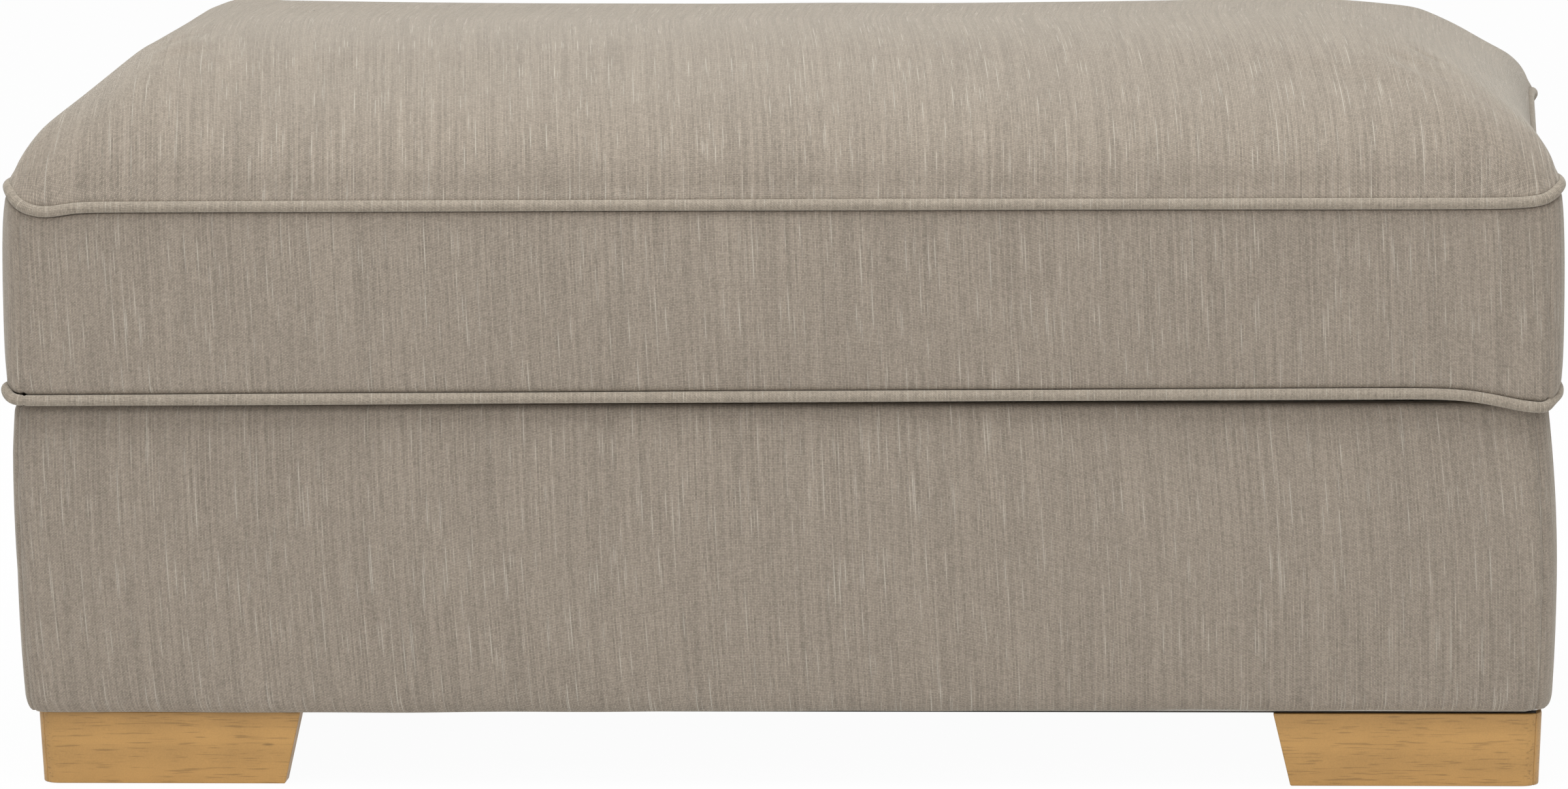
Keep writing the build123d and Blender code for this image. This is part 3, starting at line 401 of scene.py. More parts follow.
def lower_line(x, y):
    """Height of the lower cord's middle, which tilts a little and hangs near the front right corner."""
    piping = settings("piping")
    height = LOWER_Z + piping.lower_tilt * x / HALF_WIDTH
    for sx, sy in CORNERS.values():
        past, near = round_corner(x, y, sx, sy)
        lift = near * piping.lower_lift * (1 if sx < 0 else LOWER_RIGHT_SHARE)
        reach = LOWER_REACH_SHARE * piping.lift_reach
        height = height + lift * corner_lift(past, LOWER_LIFT_PLACE, piping.lower_lift_start, reach)
    past, near = round_corner(x, y, 1, -1)
    reach = piping.droop_reach * np.where(past < -piping.droop_place, FRONT_DROOP_SHARE, END_DROOP_SHARE)
    return height - near * piping.droop * np.exp(-((past + piping.droop_place) / reach) ** 2)


def lobed(x, y, part=1):
    """Places with the lower cord's bulges past its front corners."""
    piping = settings("piping")
    for sx, lobe in ((-1, piping.left_lobe), (1, piping.right_lobe)):
        past, near = round_corner(x, y, sx, -1)
        x = x + near * sx * lobe * part * np.exp(-((past - LOBE_PLACE) / piping.lobe_reach) ** 2)
    return x


def drawn_in(x, y, part=1):
    """Places with the ends drawn in towards their middles."""
    piping = settings("piping")
    behind = np.clip(HALF_DEPTH - abs(y) - piping.draw_start, 0, None) / piping.draw_reach
    grown = (1 - np.exp(-behind ** 2)) * toward_end(x, DRAW_POWER)
    draw = np.where(x < 0, piping.left_draw, piping.right_draw)
    return x * (1 - draw / HALF_WIDTH * part * grown)


# Meshes

def link_object(name, data):
    """A new object in the scene."""
    made = bpy.data.objects.new(name, data)
    bpy.context.scene.collection.objects.link(made)
    return made


def lengths_along(points):
    """How far each point of a row lies from its start, along the row."""
    return np.concatenate([[0], np.cumsum(np.linalg.norm(np.diff(points, axis=0), axis=1))])


def grid_faces(rows, columns, start=0, around=False, flip=False):
    """Quads of a grid of vertices, which may close on itself along its rows."""
    faces = []
    last = columns if around else columns - 1
    for row in range(rows - 1):
        for column in range(last):
            beside = (column + 1) % columns
            a, b = start + row * columns + column, start + row * columns + beside
            c, d = b + columns, a + columns
            faces.append((a, d, c, b) if flip else (a, b, c, d))
    return faces


def add_piece(name, vertices, faces, weave=None):
    """A new smooth mesh object, with its yarn coordinates in a UV map."""
    mesh = bpy.data.meshes.new(name)
    mesh.from_pydata([tuple(vertex) for vertex in vertices], [], faces)
    if weave is not None:
        layer = mesh.uv_layers.new(name="weave")
        corners = np.zeros(len(mesh.loops), np.int32)
        mesh.loops.foreach_get("vertex_index", corners)
        layer.uv.foreach_set("vector", np.asarray(weave, np.float32)[corners].ravel())
    mesh.shade_smooth()
    return link_object(name, mesh)


def grid_normals(grid):
    """Outward directions of a grid of points."""
    normal = np.cross(np.gradient(grid, axis=1), np.gradient(grid, axis=0))
    return normal / np.maximum(np.linalg.norm(normal, axis=2, keepdims=True), 1e-12)


def grid_weave(grid, shift=(0, 0)):
    """Yarn coordinates of a grid: lengths along its middle row and its middle column."""
    row, column = grid[grid.shape[0] // 2], grid[:, grid.shape[1] // 2]
    along, up = lengths_along(row), lengths_along(column)
    u, v = np.meshgrid(along - along[-1] / 2 + shift[0], up + shift[1])
    return np.stack([u + settings("finish").yarn_lean * v, v], axis=2)


def shell(name, outer, inner, shift=(0, 0)):
    """A closed skin between an outer and an inner grid of points."""
    rows, columns = outer.shape[:2]
    count = rows * columns
    faces = grid_faces(rows, columns) + grid_faces(rows, columns, count, flip=True)
    for column in range(columns - 1):
        a, b = column, column + 1
        faces.append((b, a, a + count, b + count))
        a, b = a + count - columns, b + count - columns
        faces.append((a, b, b + count, a + count))
    for row in range(rows - 1):
        a, b = row * columns, (row + 1) * columns
        faces.append((a, b, b + count, a + count))
        a, b = a + columns - 1, b + columns - 1
        faces.append((b, a, a + count, b + count))
    weave = grid_weave(outer, shift).reshape(-1, 2)
    vertices = np.concatenate([outer.reshape(-1, 3), inner.reshape(-1, 3)])
    return add_piece(name, vertices, faces, np.concatenate([weave, weave]))


def ring_points(rings, places, seams):
    """Rings of points round a form: each ring gives half sizes, corner, bow and height."""
    columns = []
    table = np.array([ring[:4] for ring in rings])[:, :, None]
    for side in SIDES:
        x, y = side_points(side, table[:, 0], table[:, 1], table[:, 2], table[:, 3],
                           places[side][None, :-1], seams)
        columns.append(np.stack([x, y], axis=2))
    return np.concatenate(columns, axis=1)


MERGE_REACH = 0.00002


def merge_closed(piece):
    """Join the points that fall together where rings close on a line."""
    made = bmesh.new()
    made.from_mesh(piece.data)
    bmesh.ops.remove_doubles(made, verts=made.verts, dist=MERGE_REACH)
    bmesh.ops.recalc_face_normals(made, faces=made.faces)
    made.to_mesh(piece.data)
    made.free()


def stand_in(piece, body, slot, *nodes):
    """Give a piece its body, the slot that it takes its finish from and the nodes that it stands for."""
    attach(piece, body)
    if nodes:
        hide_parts(*nodes)
    if not piece.data.materials:
        piece.data.materials.append(material(slot))


# Materials

class Sketch:
    """One material's nodes."""

    def __init__(self, name):
        self.material = bpy.data.materials.new(name)
        self.material.use_nodes = True
        self.tree = self.material.node_tree
        self.shader = self.tree.nodes["Principled BSDF"]

    def node(self, kind, inputs=(), **options):
        """Add a node; inputs are pairs of a socket's name or number and its value or source."""
        made = self.tree.nodes.new(kind)
        for name, value in options.items():
            setattr(made, name, value)
        for name, value in inputs:
            self.feed(made.inputs[name], value)
        return made

    def feed(self, socket, source):
        """Link a socket to its source or give it a value; None leaves it as it is."""
        if isinstance(source, bpy.types.NodeSocket):
            self.tree.links.new(source, socket)
        elif source is not None:
            socket.default_value = source

    def place(self):
        """Places on the piece."""
        return self.node("ShaderNodeTexCoord").outputs["Object"]

    def stretched(self, vector, scale):
        """A vector times a scale for each axis."""
        return self.node("ShaderNodeMapping", [(0, vector), ("Scale", scale)]).outputs[0]

    def math(self, operation, first, second=None, third=None):
        """A math node's result."""
        inputs = [(0, first), (1, second), (2, third)]
        return self.node("ShaderNodeMath", inputs, operation=operation).outputs[0]

    def vector(self, x, y, z=0.0):
        """A vector from three values."""
        return self.node("ShaderNodeCombineXYZ", [(0, x), (1, y), (2, z)]).outputs[0]

    def noise(self, vector, scale=1.0, detail=2.0, kind="3D"):
        """A noise value from 0 to 1."""
        inputs = [("Vector", vector), ("Scale", scale), ("Detail", detail)]
        return self.node("ShaderNodeTexNoise", inputs, noise_dimensions=kind).outputs[0]

    def between(self, value, low, high, start=0.0, end=1.0):
        """A value's place from low to high, mapped to start and end and held there."""
        inputs = [("Value", value), ("From Min", low), ("From Max", high), ("To Min", start), ("To Max", end)]
        return self.node("ShaderNodeMapRange", inputs).outputs[0]

    def mix(self, amount, first, second):
        """A colour between two."""
        made = self.node("ShaderNodeMix", data_type="RGBA")
        for place, value in ((0, amount), (6, first), (7, second)):
            self.feed(made.inputs[place], value)
        return made.outputs[2]

    def toned(self, tint, value):
        """A colour times a value."""
        made = self.node("ShaderNodeVectorMath", [(0, tint), ("Scale", value)], operation="SCALE")
        return made.outputs[0]

    def bump(self, height, distance, strength=1.0):
        """Raise the surface by a height value times a distance."""
        inputs = [("Height", height), ("Distance", distance), ("Strength", strength)]
        made = self.node("ShaderNodeBump", inputs)
        self.tree.links.new(made.outputs[0], self.shader.inputs["Normal"])

    def shade(self, **inputs):
        """Feed the shader's inputs, named with an underscore for each space."""
        for name, source in inputs.items():
            self.feed(self.shader.inputs[name.replace("_", " ")], source)


# Where the dark fleck in the oak lies, and how narrow it is along the three axes
FLECK_PLACE, FLECK_SCALES = (-0.3355, -0.283, 0.0265), (200.0, 8.0, 900.0)


def opaque(tint):
    """A colour with full alpha."""
    return (*tint, 1.0)


def fabric(name, ground):
    """Slub linen-look weave: yarns of uneven tone, staggered crossings with painted shade in the gaps between
    yarns, faint ribs and pale slubs.
    """
    finish = settings("finish")
    made = Sketch(name)
    uv = made.node("ShaderNodeUVMap", uv_map="weave").outputs[0]
    parts = made.node("ShaderNodeSeparateXYZ", [(0, uv)])
    u, v = parts.outputs[0], parts.outputs[1]
    drift = made.math("MULTIPLY", made.noise(uv, scale=3.5, detail=1.0, kind="2D"), 0.005)
    across = made.math("DIVIDE", made.math("ADD", u, drift), finish.yarn_pitch)
    end = made.math("FLOOR", across)
    stagger = made.math("MULTIPLY", made.math("FLOORED_MODULO", end, 2.0), 0.5)
    up = made.math("ADD", made.math("DIVIDE", made.math("ADD", v, drift), finish.pick_pitch), stagger)
    pick = made.math("FLOOR", up)
    warp = made.math("ABSOLUTE", made.math("SINE", made.math("MULTIPLY", across, math.pi)))
    weft = made.math("ABSOLUTE", made.math("SINE", made.math("MULTIPLY", up, math.pi)))
    yarn_relief_and_shade = made.math("POWER", made.math("MULTIPLY", warp, weft), 0.5)
    grain = made.node("ShaderNodeTexWhiteNoise", [("Vector", made.vector(end, pick))], noise_dimensions="2D")
    turn = made.math("MULTIPLY_ADD", made.math("MULTIPLY", u, u), 0.9, v)
    rib = made.math("SINE", made.math("MULTIPLY", turn, 2 * math.pi / finish.rib_pitch))

    def along(step, length, detail=0.0):
        place = made.vector(made.math("MULTIPLY", end, step), made.math("DIVIDE", v, length))
        return made.noise(place, scale=1.0, detail=detail, kind="2D")

    crossing = made.vector(made.math("DIVIDE", u, 0.01), made.math("MULTIPLY", pick, 5.7))
    picks = made.noise(crossing, scale=1.0, detail=0.0, kind="2D")
    # Painted shade of the weave's relief: the colour is darker in the gaps between yarns and lighter on their
    # rounded tops, besides the bump
    tone = made.math("MULTIPLY_ADD", yarn_relief_and_shade, 0.46, 0.68)
    # Uneven tones of crossings, yarns, picks, long yarns and clouds: the noise, its least value and its depth
    clouds = made.noise(uv, scale=9.0, detail=2.0, kind="2D")
    uneven = [(grain.outputs["Value"], 0.0, 0.14), (along(3.17, 0.012), 0.25, 0.05), (picks, 0.25, 0.03),
              (along(1.37, 0.12), 0.25, 0.10), (clouds, 0.25, 0.02)]
    for source, low, depth in uneven:
        tone = made.math("ADD", tone, made.between(source, low, 1 - low, -depth, depth))
    tone = made.math("MULTIPLY_ADD", rib, 0.05, tone)
    plain = made.toned(ground, tone)
    thick = made.between(along(7.31, finish.slub_length, 1.0), 0.64, 0.80)
    paleness = made.math("MULTIPLY", thick, made.math("MULTIPLY", warp, 0.42))
    made.shade(Base_Color=made.mix(paleness, plain, opaque(finish.slub_colour)))
    height = made.math("ADD", yarn_relief_and_shade, made.math("MULTIPLY_ADD", thick, 0.5, made.math("MULTIPLY", rib, 0.2)))
    made.bump(height, distance=0.00022, strength=0.7)
    made.shade(Roughness=0.92)
    made.shade(Specular_IOR_Level=0.2, Sheen_Weight=finish.sheen, Sheen_Roughness=0.4)
    made.shade(Sheen_Tint=opaque(finish.sheen_tint))
    return made.material


def scales(axis, along, across):
    """A scale for each axis, another one along the grain."""
    return [along if letter == axis else across for letter in "xyz"]


def timber(name, tint, axis, dark=0.72, fleck=None):
    """Planed wood whose grain runs along one axis, with pores, growth figure and a satin lacquer."""
    made = Sketch(name)
    place = made.place()
    grain = made.noise(made.stretched(place, scales(axis, 3.0, 60.0)), scale=1.0, detail=5.0)
    pores = made.noise(made.stretched(place, scales(axis, 55.0, 900.0)), scale=1.0, detail=1.0)
    cloud = made.noise(place, scale=26.0, detail=4.0)
    speckle = made.noise(place, scale=1100.0, detail=1.0)
    tone = made.between(grain, 0.25, 0.75, 0.86, 1.10)
    tone = made.math("ADD", tone, made.between(cloud, 0.3, 0.7, -0.07, 0.07))
    tone = made.math("ADD", tone, made.between(speckle, 0.2, 0.8, -0.07, 0.07))
    tone = made.math("MULTIPLY", tone, made.between(pores, 0.30, 0.42, dark, 1.0))
    if fleck is not None:
        kind = "ShaderNodeVectorMath"
        offset = made.node(kind, [(0, place), (1, fleck)], operation="SUBTRACT").outputs[0]
        squeezed = made.node(kind, [(0, offset), (1, FLECK_SCALES)], operation="MULTIPLY").outputs[0]
        reach = made.node(kind, [(0, squeezed)], operation="LENGTH").outputs["Value"]
        tone = made.math("MULTIPLY", tone, made.between(reach, 0.3, 1.0, 0.55, 1.0))
    made.shade(Base_Color=made.toned(tint, tone))
    made.shade(Roughness=made.between(grain, 0.2, 0.8, 0.52, 0.42))
    made.bump(made.math("ADD", pores, grain), distance=0.00012, strength=0.5)
    return made.material


def lining(name):
    """Black non-woven cloth with a fine bonded dot pattern."""
    finish = settings("finish")
    made = Sketch(name)
    place = made.place()
    fibre = made.noise(place, scale=900.0, detail=3.0)
    dots = made.node("ShaderNodeTexVoronoi", [("Vector", place), ("Scale", 650.0)]).outputs["Distance"]
    made.shade(Base_Color=made.toned(finish.lining_colour, made.between(fibre, 0.2, 0.8, 0.6, 1.5)))
    made.bump(made.math("ADD", made.between(dots, 0.0, 0.4), fibre), distance=0.00015, strength=0.6)
    made.shade(Roughness=0.88)
    return made.material


def plated_steel(name):
    """Zinc-plated pressed steel with faint rolling marks."""
    finish = settings("finish")
    made = Sketch(name)
    place = made.place()
    marks = made.noise(made.stretched(place, scales("x", 900.0, 60.0)), scale=1.0, detail=3.0)
    cloud = made.noise(place, scale=120.0, detail=3.0)
    patches = made.between(cloud, 0.3, 0.7, -0.05, 0.05)
    tone = made.math("ADD", made.between(marks, 0.2, 0.8, 0.92, 1.04), patches)
    made.shade(Base_Color=made.toned(finish.steel_colour, tone))
    made.shade(Metallic=1.0)
    made.shade(Roughness=made.between(cloud, 0.2, 0.8, 0.30, 0.44))
    made.bump(marks, distance=0.00003, strength=0.4)
    return made.material


def moulded(name, tint, roughness):
    """Moulded plastic with a fine spark texture."""
    made = Sketch(name)
    place = made.place()
    grain = made.noise(place, scale=1400.0, detail=2.0)
    made.shade(Base_Color=made.toned(tint, made.between(grain, 0.2, 0.8, 0.92, 1.08)))
    made.bump(grain, distance=0.00005, strength=0.5)
    made.shade(Roughness=roughness)
    return made.material


def soft_filling(name, tint, cell):
    """Open foam or fibre filling."""
    made = Sketch(name)
    place = made.place()
    cells = made.node("ShaderNodeTexVoronoi", [("Vector", place), ("Scale", 1 / cell)]).outputs["Distance"]
    cloud = made.noise(place, scale=30.0, detail=4.0)
    patches = made.between(cloud, 0.3, 0.7, -0.04, 0.04)
    tone = made.math("ADD", made.between(cells, 0.0, 0.7, 0.78, 1.04), patches)
    made.shade(Base_Color=made.toned(tint, tone))
    made.bump(cells, distance=cell / 3, strength=0.8)
    made.shade(Roughness=0.95)
    return made.material


MATERIALS = {}


def material(name):
    """The material of a slot, made once."""
    if name not in MATERIALS:
        finish = settings("finish")
        makers = {
            "cover_fabric": (fabric, finish.cover_colour),
            "piping_fabric": (fabric, finish.piping_colour),
            "wadding": (soft_filling, finish.wadding_colour, 0.0012),
            "foam": (soft_filling, finish.foam_colour, 0.0016),
            "lining_fabric": (lining,),
            "plywood": (timber, finish.plywood_colour, "x", 0.85),
            "plywood_along_y": (timber, finish.plywood_colour, "y", 0.85),
            "pine": (timber, finish.pine_colour, "x", 0.8),
            "pine_upright": (timber, finish.pine_colour, "z", 0.8),
            "oak": (timber, finish.oak_colour, "x", 0.72, FLECK_PLACE),
            "oak_along_y": (timber, finish.oak_colour, "y"),
            "plated_steel": (plated_steel,),
            "bumper": (moulded, finish.bumper_colour, 0.6),
            "glide": (moulded, finish.glide_colour, 0.45),
        }
        maker, *values = makers[name]
        MATERIALS[name] = maker(name, *values)
        MATERIALS[name].name = f"{name}_finish"
    return MATERIALS[name]


# Soft pieces

EVEN_SEAMS = (math.pi / 4, math.pi / 4)
CLOTH_FRAMES = 20
FILLING_PRESSURE = 3.0
# Rings under the crown's edge, as insets, and over it, as their number and how they crowd to the top
UNDER_EDGE_INSETS = (40 * MM, 12 * MM)
CROWN_RING_COUNT, CROWN_RING_POWER = 30, 0.9
# The most that a corner's radius may take up of half a ring's depth
CORNER_LIMIT_SHARE = 0.9
# How soon the draw of the ends fades over the crown, and how far its sag reaches
DRAW_FADE, SAG_SHARE = 2.5, 0.8
# Places and reaches of the crown's left and right shoulder
SHOULDERS = ((-0.410, 0.035), (0.440, 0.034))
# How far below its ceiling the crown must lie for its shoulders to swell in full
SHOULDER_ROOM = 14 * MM
# Seeds and longest waves of the padding's swells
CROWN_SEED, CROWN_WAVE = 5, 0.5
BAND_SEED, BAND_WAVE = 11, 0.35
BASE_SEED, BASE_WAVE, BASE_SWELL_SHARE = 31, 0.45, 1.4
EDGE_SEED, EDGE_WAVE = 71, 0.3
# How far above or below a cord's middle the band's edge lies, as a share of the cord's radius
BAND_EDGE_SHARE = 0.82
END_POWER, LOBE_FADE_POWER, WEAVE_POWER = 8, 4, 4
PUCKER_SHARE = 0.3
SEAM_DROP_SHARE = 0.9
# How far the weave is shifted from panel to panel
PANEL_SHIFT, BAND_SHIFT = 0.37, 0.2


def swell(piece, held, pressure, most):
    """Fill a cushion under pressure with its held points still, and move no point further than most."""
    rest = np.array([vertex.co for vertex in piece.data.vertices])
    group = piece.vertex_groups.new(name="held")
    group.add([int(index) for index in held], 1.0, "REPLACE")
    cloth = piece.modifiers.new("swell", "CLOTH")
    cloth.settings.quality = 5
    cloth.settings.mass = 0.3
    cloth.settings.tension_stiffness = 12
    cloth.settings.compression_stiffness = 12
    cloth.settings.shear_stiffness = 6
    cloth.settings.bending_stiffness = 0.4
    cloth.settings.use_pressure = True
    cloth.settings.uniform_pressure_force = pressure
    cloth.settings.vertex_group_mass = "held"
    cloth.settings.effector_weights.gravity = 0
    scene = bpy.context.scene
    for step in range(CLOTH_FRAMES):
        scene.frame_set(step + 1)
    shaped = piece.evaluated_get(bpy.context.evaluated_depsgraph_get())
    moved = np.array([vertex.co for vertex in shaped.data.vertices])
    way = moved - rest
    far = np.linalg.norm(way, axis=1, keepdims=True)
    way = way * np.minimum(1, most / np.maximum(far, 1e-9))
    piece.modifiers.remove(cloth)
    piece.vertex_groups.remove(group)
    piece.data.vertices.foreach_set("co", (rest + way).astype(np.float32).ravel())
    piece.data.update()
    scene.frame_set(1)


def subdivide(piece):
    """One round of subdivision, kept in the mesh."""
    modifier = piece.modifiers.new("smooth", "SUBSURF")
    modifier.levels = 1
    modifier.render_levels = 1
    graph = bpy.context.evaluated_depsgraph_get()
    made = bpy.data.meshes.new_from_object(piece.evaluated_get(graph), depsgraph=graph)
    piece.modifiers.remove(modifier)
    piece.data = made


def crown_rings():
    """Rings of the top cushion from under its middle, out to the seam, and up over the crown."""
    cushion, piping = settings("cushion"), settings("piping")
    edge_x, edge_y = HALF_WIDTH - cushion.crown_setback, HALF_DEPTH - cushion.crown_setback
    radius, bow = cushion.crown_corner_radius, -piping.draw_in
    tuck = cushion.tuck_depth
    rings = []
    for inset in (edge_y - SLIT, edge_y / 2, edge_y / 4, *UNDER_EDGE_INSETS):
        corner = min(radius, (edge_y - inset) / 2)
        rings.append((edge_x - inset, edge_y - inset, corner, 0, 0, 0, 0, "under"))
    for inset, drop in ((tuck, tuck), (tuck / 2, tuck * SEAM_DROP_SHARE)):
        rings.append((edge_x - inset, edge_y - inset, radius - inset / 2, bow, -drop, 0, 0, "seam"))
    heights = np.sin(np.linspace(0, math.pi / 2, CROWN_RING_COUNT)) ** CROWN_RING_POWER
    ways = [(getattr(cushion, f"crown_{way}_reach"), getattr(cushion, f"crown_{way}_power"))
            for way in ("left", "right", "front", "back")]
    for height in heights:
        left, right, front, back = [reach * (1 - (1 - height ** power) ** (1 / power))
                                    for reach, power in ways]
        half_x, half_y = edge_x - (left + right) / 2, edge_y - (front + back) / 2
        corner = min(radius + cushion.crown_corner_growth * height, half_y * CORNER_LIMIT_SHARE)
        shift = ((left - right) / 2, (front - back) / 2)
        rings.append((half_x, half_y, corner, bow * (1 - height), height, *shift, "crown"))
    top_x, top_y = rings[-1][:2]
    for part in (0.2, 0.4, 0.6, 0.8, 1):
        inset = (top_y - SLIT) * part
        corner = (top_y - inset) * CORNER_LIMIT_SHARE
        rings.append((top_x - inset, top_y - inset, corner, 0, 1, *shift, "crown"))
    return rings


def crown_cushion():
    """The crowned top of the lid: one closed cushion, swelled by its filling."""
    cushion, piping = settings("cushion"), settings("piping")
    rings = crown_rings()
    places = {side: side_places(side, CROWN_GRID) for side in SIDES}
    flat = ring_points(rings, places, EVEN_SEAMS)
    shifts = np.array([ring[5:7] for ring in rings])[:, None, :]
    weave = crown_weave(rings, flat)
    flat = flat + shifts
    heights = np.array([ring[4] for ring in rings])[:, None]
    flat[:, :, 0] = drawn_in(flat[:, :, 0], flat[:, :, 1], np.clip(1 - DRAW_FADE * heights, 0, 1))
    x, y = flat[:, :, 0], flat[:, :, 1]
    kinds = np.array([ring[7] for ring in rings])[:, None]
    border = upper_line(x, y) + PIPING_RADIUS + piping.seam_gap
    sag = cushion.crown_sag * np.clip(1 - (x / (SAG_SHARE * HALF_WIDTH)) ** 2, 0, 1)
    ceiling = CROWN_TOP - cushion.crown_swell - sag
    fuller = 0
    for rise, (place, reach) in zip((cushion.left_shoulder, cushion.right_shoulder), SHOULDERS):
        fuller = fuller + rise * np.exp(-((x - place) / reach) ** 2)
    low = UPPER_Z + piping.flange_thickness / 2
    over = border + (ceiling - border) * heights
    over = over + fuller * heights * np.clip((ceiling - over) / SHOULDER_ROOM, 0, 1)
    z = np.where(kinds == "under", low, np.where(kinds == "seam", border + heights, over))
    rises = swells(x, y, CROWN_SEED, cushion.unevenness, CROWN_WAVE)
    z = z + np.where(kinds == "crown", heights * rises, 0)
    vertices = np.concatenate([flat, z[:, :, None]], axis=2)
    rows, columns = z.shape
    piece = add_piece("lid_top_cushion", vertices.reshape(-1, 3), grid_faces(rows, columns, around=True),
                      weave.reshape(-1, 2))
    merge_closed(piece)
    places = np.array([vertex.co for vertex in piece.data.vertices])
    edge = upper_line(places[:, 0], places[:, 1]) + PIPING_RADIUS + MM
    swell(piece, np.flatnonzero(places[:, 2] < edge), FILLING_PRESSURE, cushion.crown_swell)
    subdivide(piece)
    return piece


def crown_weave(rings, flat):
    """Yarn coordinates over the crown: lengths over the surface from its middle."""
    halves = np.array([ring[:2] for ring in rings])
    x, y = flat[:, :, 0], flat[:, :, 1]
    heights = np.array([ring[4] if ring[7] == "crown" else 0 for ring in rings]) * (CROWN_TOP - UPPER_Z)
    steps = np.diff(halves, axis=0)
    rise = np.diff(heights)[:, None]
    lengths = np.hypot(steps, rise)
    over = np.concatenate([np.cumsum(lengths[::-1], axis=0)[::-1], [[0, 0]]]) + halves[-1]
    crown = np.array([ring[7] != "under" for ring in rings])[:, None]
    stretch = np.where(crown, over, halves) / np.maximum(halves, MM)
    flat_x = 1 - np.clip(abs(y) / np.maximum(halves[:, 1:], MM), 0, 1) ** WEAVE_POWER
    flat_y = 1 - np.clip(abs(x) / np.maximum(halves[:, :1], MM), 0, 1) ** WEAVE_POWER
    u = x * (1 + (stretch[:, :1] - 1) * flat_x)
    v = y * (1 + (stretch[:, 1:] - 1) * flat_y)
    return np.stack([u, v], axis=2)


def band_rings(inset, shares):
    """Half sizes, corner and bow of the band at shares of its height."""
    cushion, piping = settings("cushion"), settings("piping")
    swelling = bulging(shares)
    radius = cushion.band_edge_radius + (cushion.band_corner_radius - cushion.band_edge_radius) * swelling
    bow = cushion.band_bulge * swelling - piping.draw_in * (1 + shares) / 2
    half_x = HALF_WIDTH - cushion.band_setback - inset + cushion.band_corner_bulge * np.sqrt(swelling)
    half_y = HALF_DEPTH - cushion.band_setback - inset * np.ones_like(shares)
    return half_x, half_y, radius - inset, bow


def sewn_panel(name, grid, lift, start):
    """A panel's skin: lifted by its padding, drawn in and puckered along its end seams, turned in there."""
    cushion = settings("cushion")
    along = lengths_along(grid[grid.shape[0] // 2])
    off = np.minimum(along, along[-1] - along)[None, :]
    pucker = 1 + PUCKER_SHARE * np.sin(grid[:, :, 2] * math.tau / cushion.stitch_pitch)
    dip = cushion.seam_depth * np.exp(-(off / cushion.seam_width) ** 2) * pucker
    fade = 1 - np.exp(-(off / cushion.seam_calm) ** 2)
    normal = grid_normals(grid)
    outer = grid + normal * (lift * fade - dip)[:, :, None]
    turned = cushion.seam_turn_in
    first, last = outer[:, :1] - normal[:, :1] * turned, outer[:, -1:] - normal[:, -1:] * turned
    outer = np.concatenate([first, outer, last], axis=1)
    normal = grid_normals(outer[:, 1:-1])
    inner = outer[:, 1:-1] - normal * cushion.cover_thickness
    step = grid[:, 2:3] - grid[:, :1], grid[:, -3:-2] - grid[:, -1:]
    near = [way / np.linalg.norm(way, axis=2, keepdims=True) * cushion.cover_thickness for way in step]
    inner = np.concatenate([first + near[0], inner[:, :1] + near[0], inner[:, 1:-1],
                            inner[:, -1:] + near[1], last + near[1]], axis=1)
    return shell(name, outer, inner, (0, start))


def band_panel(side):
    """One boxing panel of the lid, between the two cords, bowed out and drawn in at its seams."""
    cushion, piping = settings("cushion"), settings("piping")
    reach = BAND_EDGE_SHARE * PIPING_RADIUS + piping.seam_gap
    height = UPPER_Z - LOWER_Z - 2 * reach
    shares = (spaced(height / 2, *BAND_ROWS)[:, None] + 1) / 2
    off = np.minimum(shares, 1 - shares) * height
    curl = np.clip(1 - off / cushion.tuck_height, 0, 1)
    inset = cushion.tuck_depth * (1 - np.sqrt(1 - curl ** 2))
    half_x, half_y, radius, bow = band_rings(inset, shares)
    seams = (cushion.left_seam, cushion.right_seam)
    places = side_places(side, PANEL_GRID)[None, :]
    x, y = side_points(side, half_x, half_y, radius, bow, places, seams)
    fuller = np.sqrt(bulging(shares)) * toward_end(x, END_POWER)
    x = drawn_in(x + np.where(x < 0, -cushion.left_swell, cushion.right_swell) * fuller, y, (1 + shares) / 2)
    low, high = lower_line(x, y) + reach, upper_line(x, y) - reach
    lobes = np.where(x < 0, lobed(x, y, (1 - shares) ** LOBE_FADE_POWER), x)
    grid = np.stack([lobes, y, low + (high - low) * shares], axis=2)
    index = SIDES.index(side)
    lift = swells(x + y, grid[:, :, 2], BAND_SEED + index, cushion.unevenness, BAND_WAVE) * bulging(shares)
    return sewn_panel(f"lid_band_cover_{side}", grid, lift, PANEL_SHIFT * index + BAND_SHIFT)


FOAM_ROWS = 15
# How far the foam's edges are rounded in, and over which share of its height
FOAM_EDGE_INSET, FOAM_EDGE_SHARE = 5 * MM, 0.1
FOAM_CLEARANCE = 0.3 * MM
FOAM_END_INSET = 4 * MM
FOAM_CORNER = 10 * MM


